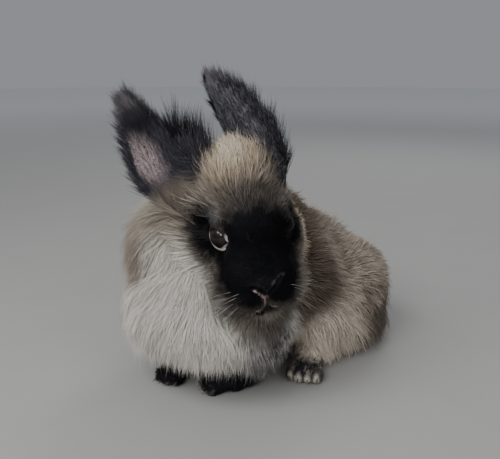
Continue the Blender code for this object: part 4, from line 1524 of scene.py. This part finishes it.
def build_eyes():
    """Round eyeballs with a raised cornea."""
    for side in SIDES:
        out, ahead, above = eye_axes(side)
        spin = Matrix((ahead, above, out)).transposed().to_4x4()
        shape = bmesh.new()
        bmesh.ops.create_uvsphere(shape, u_segments=64, v_segments=48, radius=1.0)
        for vert in shape.verts:
            angle = math.degrees(math.acos(max(-1.0, min(1.0, vert.co.z))))
            vert.co *= EYE_RADIUS * MM + CORNEA_RAISED * MM * float(cornea_share(np.array(angle)))
        mesh = bpy.data.meshes.new(f"eyeball_{side}")
        shape.to_mesh(mesh)
        shape.free()
        mesh.transform(Matrix.Translation(eye_place(side)) @ spin)
        if spin.determinant() < 0.0:
            mesh.flip_normals()
        mesh.shade_smooth()
        mesh.materials.append(eye_material(side))
        eye = new_object(f"eyeball_{side}", mesh, "eye")
        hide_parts(f"eye_{side}")
        put_in_place(eye)


# The section of a lid: degrees outside its edge and millimetres over the eyeball.
LID_SECTION = [
    (0.0, 0.10), (2.0, 0.50), (5.0, 0.86), (8.0, 1.05), (12.0, 1.05), (18.0, 0.80), (24.0, 0.20),
    (16.0, -0.35), (6.0, -0.30),
]
UPPER_LID_THICKER = 0.35


def lid_colour(nodes, place):
    """Dark lids, on the right eye with a pale rim along the lower and front edge and a pinkish corner."""
    colour = coat_colour(nodes, place)
    for side in SIDES:
        out, ahead, above = eye_axes(side)
        from_middle = place - tuple(eye_place(side) / MM)
        low = 1.0 - from_middle.dot(tuple(above)).ease(-5.0, 0.5)
        front = from_middle.dot(tuple(ahead)).ease(3.5, 6.0)
        here = 1.0 - from_middle.length().ease(10.0, 12.0)
        near = from_middle.dot(tuple(out)).ease(2.6, 4.0)
        colour = colour.under(tone(26, 22, 22), here * 0.8)
        colour = colour.under(tone(152, 146, 145), here * low.most(front) * near * RIM_SHOWS[side])
        colour = colour.under(tone(166, 148, 144), here * front * low * RIM_SHOWS[side])
    return colour


def build_lids():
    """Rolled lids that close round the eyeballs."""
    steps, rows = 96, len(LID_SECTION)
    around = np.linspace(0.0, 2.0 * np.pi, steps, endpoint=False)
    places, faces = [], []
    for side in SIDES:
        out, ahead, above = [np.array(way) for way in eye_axes(side)]
        first = sum(len(one) for one in places)
        for degrees, over in LID_SECTION:
            angle = np.radians(lid_edge(around) + degrees)
            aside = np.cos(around)[:, None] * ahead + np.sin(around)[:, None] * above
            ways = np.cos(angle)[:, None] * out + np.sin(angle)[:, None] * aside
            bulge = CORNEA_RAISED * cornea_share(np.degrees(angle))
            upper = UPPER_LID_THICKER * (np.sin(around) > 0.0) * np.sin(around) * (over > 0.0)
            radius = EYE_RADIUS + bulge + over + upper
            places.append(np.array(eye_place(side)) + ways * radius[:, None] * MM)
        for row in range(rows):
            low, high = first + row * steps, first + (row + 1) % rows * steps
            for one in range(steps):
                after = (one + 1) % steps
                quad = (low + one, low + after, high + after, high + one)
                faces.append(quad if side == "left" else quad[::-1])
    mesh = mesh_from("lids", np.concatenate(places), np.array(faces))
    shape = bmesh.new()
    shape.from_mesh(mesh)
    bmesh.ops.recalc_face_normals(shape, faces=shape.faces)
    shape.to_mesh(mesh)
    shape.free()
    mesh.shade_smooth()
    mesh.materials.append(skin_material("lids", lid_colour, 0.8))
    put_in_place(new_object("lids", mesh, "skin"))


# Whiskers: root on the left side of the muzzle in the head's frame, way, length and sag.
WHISKERS = [
    ((12.0, -39.0, -12.0), (0.88, -0.30, 0.10), 26.0, 4.0),
    ((13.0, -37.5, -15.0), (0.93, -0.22, -0.12), 32.0, 5.0),
    ((13.0, -36.0, -18.5), (0.92, -0.20, -0.30), 34.0, 5.0),
    ((12.0, -38.0, -19.5), (0.86, -0.36, -0.36), 28.0, 4.5),
    ((13.5, -34.5, -14.0), (0.96, 0.02, 0.02), 30.0, 5.0),
    ((12.5, -35.5, -22.0), (0.86, -0.16, -0.46), 24.0, 4.0),
    ((14.0, -33.0, -17.0), (0.97, 0.06, -0.16), 26.0, 4.0),
    ((14.0, -35.0, -15.5), (0.80, 0.14, -0.30), 30.0, 3.0),
    ((13.5, -35.0, -19.0), (0.80, 0.06, -0.52), 34.0, 3.0),
    ((13.0, -36.0, -21.0), (0.74, 0.02, -0.66), 30.0, 3.0),
]
# The same of the hairs over the right eye.
BROW_HAIRS = [
    ((12.0, -15.0, 18.5), (0.5, -0.5, 0.8), 18.0, 2.0),
    ((15.0, -12.0, 19.0), (0.66, -0.30, 0.8), 15.0, 2.0),
]
# The longest whisker's usual length in metres, their width at the root, and how far past the packed
# solids' left side one may reach.
LONGEST_WHISKER = 0.034
WHISKER_WIDTH, WHISKER_PAST = 0.26, 2.0
# The places along a whisker and the corners round it.
WHISKER_STEPS, WHISKER_CORNERS = 9, 6


def build_whiskers():
    """Long stiff tapering hairs on the muzzle, and two over the right eye."""
    scale = bpy.context.scene.rabbit_sizes.whisker_length / LONGEST_WHISKER
    shares = np.linspace(0.0, 1.0, WHISKER_STEPS)
    corners = np.linspace(0.0, 2.0 * np.pi, WHISKER_CORNERS, endpoint=False)
    hairs = [(side, *one) for side in SIDES for one in WHISKERS] + [("right", *one) for one in BROW_HAIRS]
    places, faces = [], []
    for side, at, way, long, sag in hairs:
        flip = Vector((SIDES[side], 1.0, 1.0))
        root = np.array(head_frame() @ (MM * Vector(at) * flip))
        aim = np.array((head_frame().to_3x3() @ (Vector(way) * flip)).normalized())
        room = (CAD_BOX[1][0] + WHISKER_PAST * MM - SHIFT.x - root[0]) / (max(aim[0], 0.01) * long * scale * MM)
        line = root + aim * (shares * min(1.0, room) * long * scale * MM)[:, None]
        line[:, 2] -= shares**2 * sag * scale * MM
        across = unit(np.cross(aim, [0.0, 0.0, 1.0]))
        above = np.cross(across, aim)
        first = len(places)
        for place, share in zip(line[:-1], shares[:-1]):
            radius = 0.5 * WHISKER_WIDTH * MM * (1.0 - share) ** 0.7
            places += [place + radius * (math.cos(one) * across + math.sin(one) * above) for one in corners]
        places.append(line[-1])
        last = len(places) - 1
        faces.append(tuple(range(first + WHISKER_CORNERS - 1, first - 1, -1)))
        for ring in range(first, last, WHISKER_CORNERS):
            for one in range(WHISKER_CORNERS):
                low, after = ring + one, ring + (one + 1) % WHISKER_CORNERS
                if ring + WHISKER_CORNERS < last:
                    faces.append((low, after, after + WHISKER_CORNERS, low + WHISKER_CORNERS))
                else:
                    faces.append((low, after, last))
    mesh = bpy.data.meshes.new("whiskers")
    mesh.from_pydata(places, [], faces)
    mesh.shade_smooth()
    nodes = Nodes("whiskers")
    streak = noise(nodes, place_of(nodes), 6.0)
    colour = nodes.mix(tone(120, 117, 113), tone(50, 47, 46), streak.ease(0.35, 0.65) * 0.7)
    mesh.materials.append(nodes.finish({"Base Color": colour, "Roughness": 0.4}))
    put_in_place(new_object("whiskers", mesh, "dark_coat"))


def finish_claws():
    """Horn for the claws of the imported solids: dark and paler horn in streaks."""
    nodes = Nodes("claw_horn")
    place = place_of(nodes)
    streak = noise(nodes, place * (1.0, 0.4, 1.0), 1.2)
    colour = nodes.mix(tone(48, 40, 36), tone(96, 84, 74), streak.ease(0.35, 0.65))
    bump = nodes.make("ShaderNodeBump", {}, {"Strength": 0.3, "Distance": 0.0002, "Height": streak})
    horn = nodes.finish({"Base Color": colour, "Roughness": streak * 0.2 + 0.28, "Normal": bump})
    for name, node in frame["nodes"].items():
        if name.startswith("claw"):
            for slot in node.material_slots:
                slot.link = "OBJECT"
                slot.material = horn


# The stage: the floor's radius in metres, its two shades and its colour far off, and the sky's.
STAGE_RADIUS = 4.0
FLOOR_SHADES = ((0.38, 0.377, 0.365), (0.35, 0.347, 0.336))
FAR_COLOUR, FAR_FROM, FAR_TO = (0.92, 0.93, 0.95), 500.0, 2600.0
SKY_COLOUR, SKY_STRENGTH = (0.92, 0.95, 1.0, 1.0), 0.30
# The camera: its place, azimuth and elevation, and its lens and sensor.
CAMERA_AT = (243.9, -278.6, 200.1)
CAMERA_ANGLES = (35.0, 15.0)
CAMERA_LENS, CAMERA_SENSOR = 46.8, 36.0
# Lamps: name, place in metres, width in metres and power in watts, and the place that they all face.
LAMPS = [
    ("key", (-0.14, -0.65, 0.83), 0.66, 6.5),
    ("front", (0.28, -0.70, 0.50), 0.40, 3.0),
    ("fill", (0.95, -0.30, 0.60), 0.6, 1.4),
    ("back", (-0.2, 0.9, 0.8), 0.6, 3.0),
]
LAMPS_FACE = (10.0, 50.0, 80.0)


def build_stage():
    """A pale floor, soft light and the camera."""
    build_floor()
    build_lamps()
    build_camera()


def build_floor():
    """A round pale floor that fades into the sky."""
    shape = bmesh.new()
    bmesh.ops.create_circle(shape, cap_ends=True, segments=96, radius=STAGE_RADIUS)
    mesh = bpy.data.meshes.new("floor")
    shape.to_mesh(mesh)
    shape.free()
    nodes = Nodes("floor")
    place = place_of(nodes)
    colour = nodes.mix(*FLOOR_SHADES, noise(nodes, place, 60.0))
    colour = colour.under(FAR_COLOUR, place.length().ease(FAR_FROM, FAR_TO))
    mesh.materials.append(nodes.finish({"Base Color": colour, "Roughness": 0.8}))
    floor = new_object("floor", mesh)


def build_lamps():
    """A soft sky and round lamps that face the rabbit."""
    world = bpy.data.worlds.new("studio")
    world.use_nodes = True
    sky = world.node_tree.nodes["Background"]
    sky.inputs["Color"].default_value = SKY_COLOUR
    sky.inputs["Strength"].default_value = SKY_STRENGTH
    bpy.context.scene.world = world
    aim = SHIFT + MM * Vector(LAMPS_FACE)
    for name, at, size, watts in LAMPS:
        lamp = bpy.data.lights.new(name, "AREA")
        lamp.shape = "DISK"
        lamp.size = size
        lamp.energy = watts
        made = bpy.data.objects.new(name, lamp)
        made.location = SHIFT + Vector(at)
        made.rotation_euler = (aim - made.location).to_track_quat("-Z", "Y").to_euler()
        bpy.context.scene.collection.objects.link(made)


def build_camera():
    """The camera, level from side to side."""
    azimuth, elevation = [math.radians(one) for one in CAMERA_ANGLES]
    right = Vector((math.cos(azimuth), math.sin(azimuth), 0.0))
    level = math.cos(elevation)
    back = Vector((math.sin(azimuth) * level, -math.cos(azimuth) * level, math.sin(elevation)))
    lens = bpy.data.cameras.new("camera")
    lens.lens = CAMERA_LENS
    lens.sensor_width = CAMERA_SENSOR
    lens.clip_start = 0.01
    camera = bpy.data.objects.new("camera", lens)
    camera.matrix_world = Matrix((right, back.cross(right), back)).transposed().to_4x4()
    camera.location = SHIFT + MM * Vector(CAMERA_AT)
    bpy.context.scene.collection.objects.link(camera)
    bpy.context.scene.camera = camera


def colour_property(name, description, default):
    """A colour that a user may change."""
    return bpy.props.FloatVectorProperty(
        name=name, description=description, default=default, size=3, min=0.0, max=1.0, subtype="COLOR"
    )


class RabbitSizes(bpy.types.PropertyGroup):
    """Sizes that a user may change."""

    coat_share: bpy.props.FloatProperty(
        name="Coat thickness",
        description="Share of the coat's tufts that is built",
        default=1.0,
        min=0.05,
        max=1.0,
        subtype="FACTOR",
    )
    whisker_length: bpy.props.FloatProperty(
        name="Longest whisker",
        description="Length of the longest whisker",
        default=LONGEST_WHISKER,
        min=0.01,
        max=0.06,
        unit="LENGTH",
    )


class RabbitLooks(bpy.types.PropertyGroup):
    """Colours that a user may change."""

    mask: colour_property("Mask", "Fur of the nose and round the eyes", tone(5, 5, 8))
    cream: colour_property("Cream", "Fur of the breast and the cheeks", tone(160, 156, 150))
    wool: colour_property("Wool", "Long fur between the ears", tone(160, 150, 134))
    brown: colour_property("Brown", "Fur of the shoulders", tone(66, 56, 47))
    ear: colour_property("Ear", "Fur on the backs of the ears", tone(38, 37, 42))
    iris: colour_property("Iris", "Colour of the eyes", tone(20, 12, 10))


class RABBIT_OT_skin(bpy.types.Operator):
    """Build the skin of the body, head and ears"""

    bl_idname = "rabbit.skin"
    bl_label = "Skin"

    def execute(self, context):
        build_skin()
        return {"FINISHED"}


class RABBIT_OT_eyes(bpy.types.Operator):
    """Build both eyeballs"""

    bl_idname = "rabbit.eyes"
    bl_label = "Eyes"

    def execute(self, context):
        build_eyes()
        return {"FINISHED"}


class RABBIT_OT_lids(bpy.types.Operator):
    """Build the lids round the eyes"""

    bl_idname = "rabbit.lids"
    bl_label = "Lids"

    def execute(self, context):
        build_lids()
        return {"FINISHED"}


class RABBIT_OT_body_coat(bpy.types.Operator):
    """Root the coat's tufts on the skin of the body and head"""

    bl_idname = "rabbit.body_coat"
    bl_label = "Coat of the body"

    def execute(self, context):
        build_body_coat()
        return {"FINISHED"}


class RABBIT_OT_ear_coats(bpy.types.Operator):
    """Build the fur of both ears"""

    bl_idname = "rabbit.ear_coats"
    bl_label = "Coat of the ears"

    def execute(self, context):
        build_ear_coats()
        return {"FINISHED"}


class RABBIT_OT_whiskers(bpy.types.Operator):
    """Build the whiskers"""

    bl_idname = "rabbit.whiskers"
    bl_label = "Whiskers"

    def execute(self, context):
        build_whiskers()
        return {"FINISHED"}


class RABBIT_OT_claws(bpy.types.Operator):
    """Give the claws their horn"""

    bl_idname = "rabbit.claws"
    bl_label = "Claws"

    def execute(self, context):
        finish_claws()
        return {"FINISHED"}


class RABBIT_OT_stage(bpy.types.Operator):
    """Build the floor, the light and the camera"""

    bl_idname = "rabbit.stage"
    bl_label = "Stage"

    def execute(self, context):
        build_stage()
        return {"FINISHED"}


class RABBIT_PT_panel(bpy.types.Panel):
    """The sizes, colours and pieces of the rabbit"""

    bl_idname = "RABBIT_PT_panel"
    bl_label = "Dwarf rabbit"
    bl_space_type = "VIEW_3D"
    bl_region_type = "UI"
    bl_category = "Rabbit"

    def draw(self, context):
        for name in ("coat_share", "whisker_length"):
            self.layout.prop(context.scene.rabbit_sizes, name)
        for name in ("mask", "cream", "wool", "brown", "ear", "iris"):
            self.layout.prop(context.scene.rabbit_looks, name)
        for operator in OPERATORS:
            self.layout.operator(operator.bl_idname)


OPERATORS = (
    RABBIT_OT_skin,
    RABBIT_OT_eyes,
    RABBIT_OT_lids,
    RABBIT_OT_body_coat,
    RABBIT_OT_ear_coats,
    RABBIT_OT_whiskers,
    RABBIT_OT_claws,
    RABBIT_OT_stage,
)
CLASSES = (RabbitSizes, RabbitLooks, *OPERATORS, RABBIT_PT_panel)


def register():
    for one in CLASSES:
        bpy.utils.register_class(one)
    bpy.types.Scene.rabbit_sizes = bpy.props.PointerProperty(type=RabbitSizes)
    bpy.types.Scene.rabbit_looks = bpy.props.PointerProperty(type=RabbitLooks)


def unregister():
    del bpy.types.Scene.rabbit_looks
    del bpy.types.Scene.rabbit_sizes
    for one in reversed(CLASSES):
        bpy.utils.unregister_class(one)


def main():
    """Builds every piece in turn."""
    register()
    bpy.ops.rabbit.skin()
    bpy.ops.rabbit.eyes()
    bpy.ops.rabbit.lids()
    bpy.ops.rabbit.body_coat()
    bpy.ops.rabbit.ear_coats()
    bpy.ops.rabbit.whiskers()
    bpy.ops.rabbit.claws()
    bpy.ops.rabbit.stage()


if __name__ == "__main__":
    main()
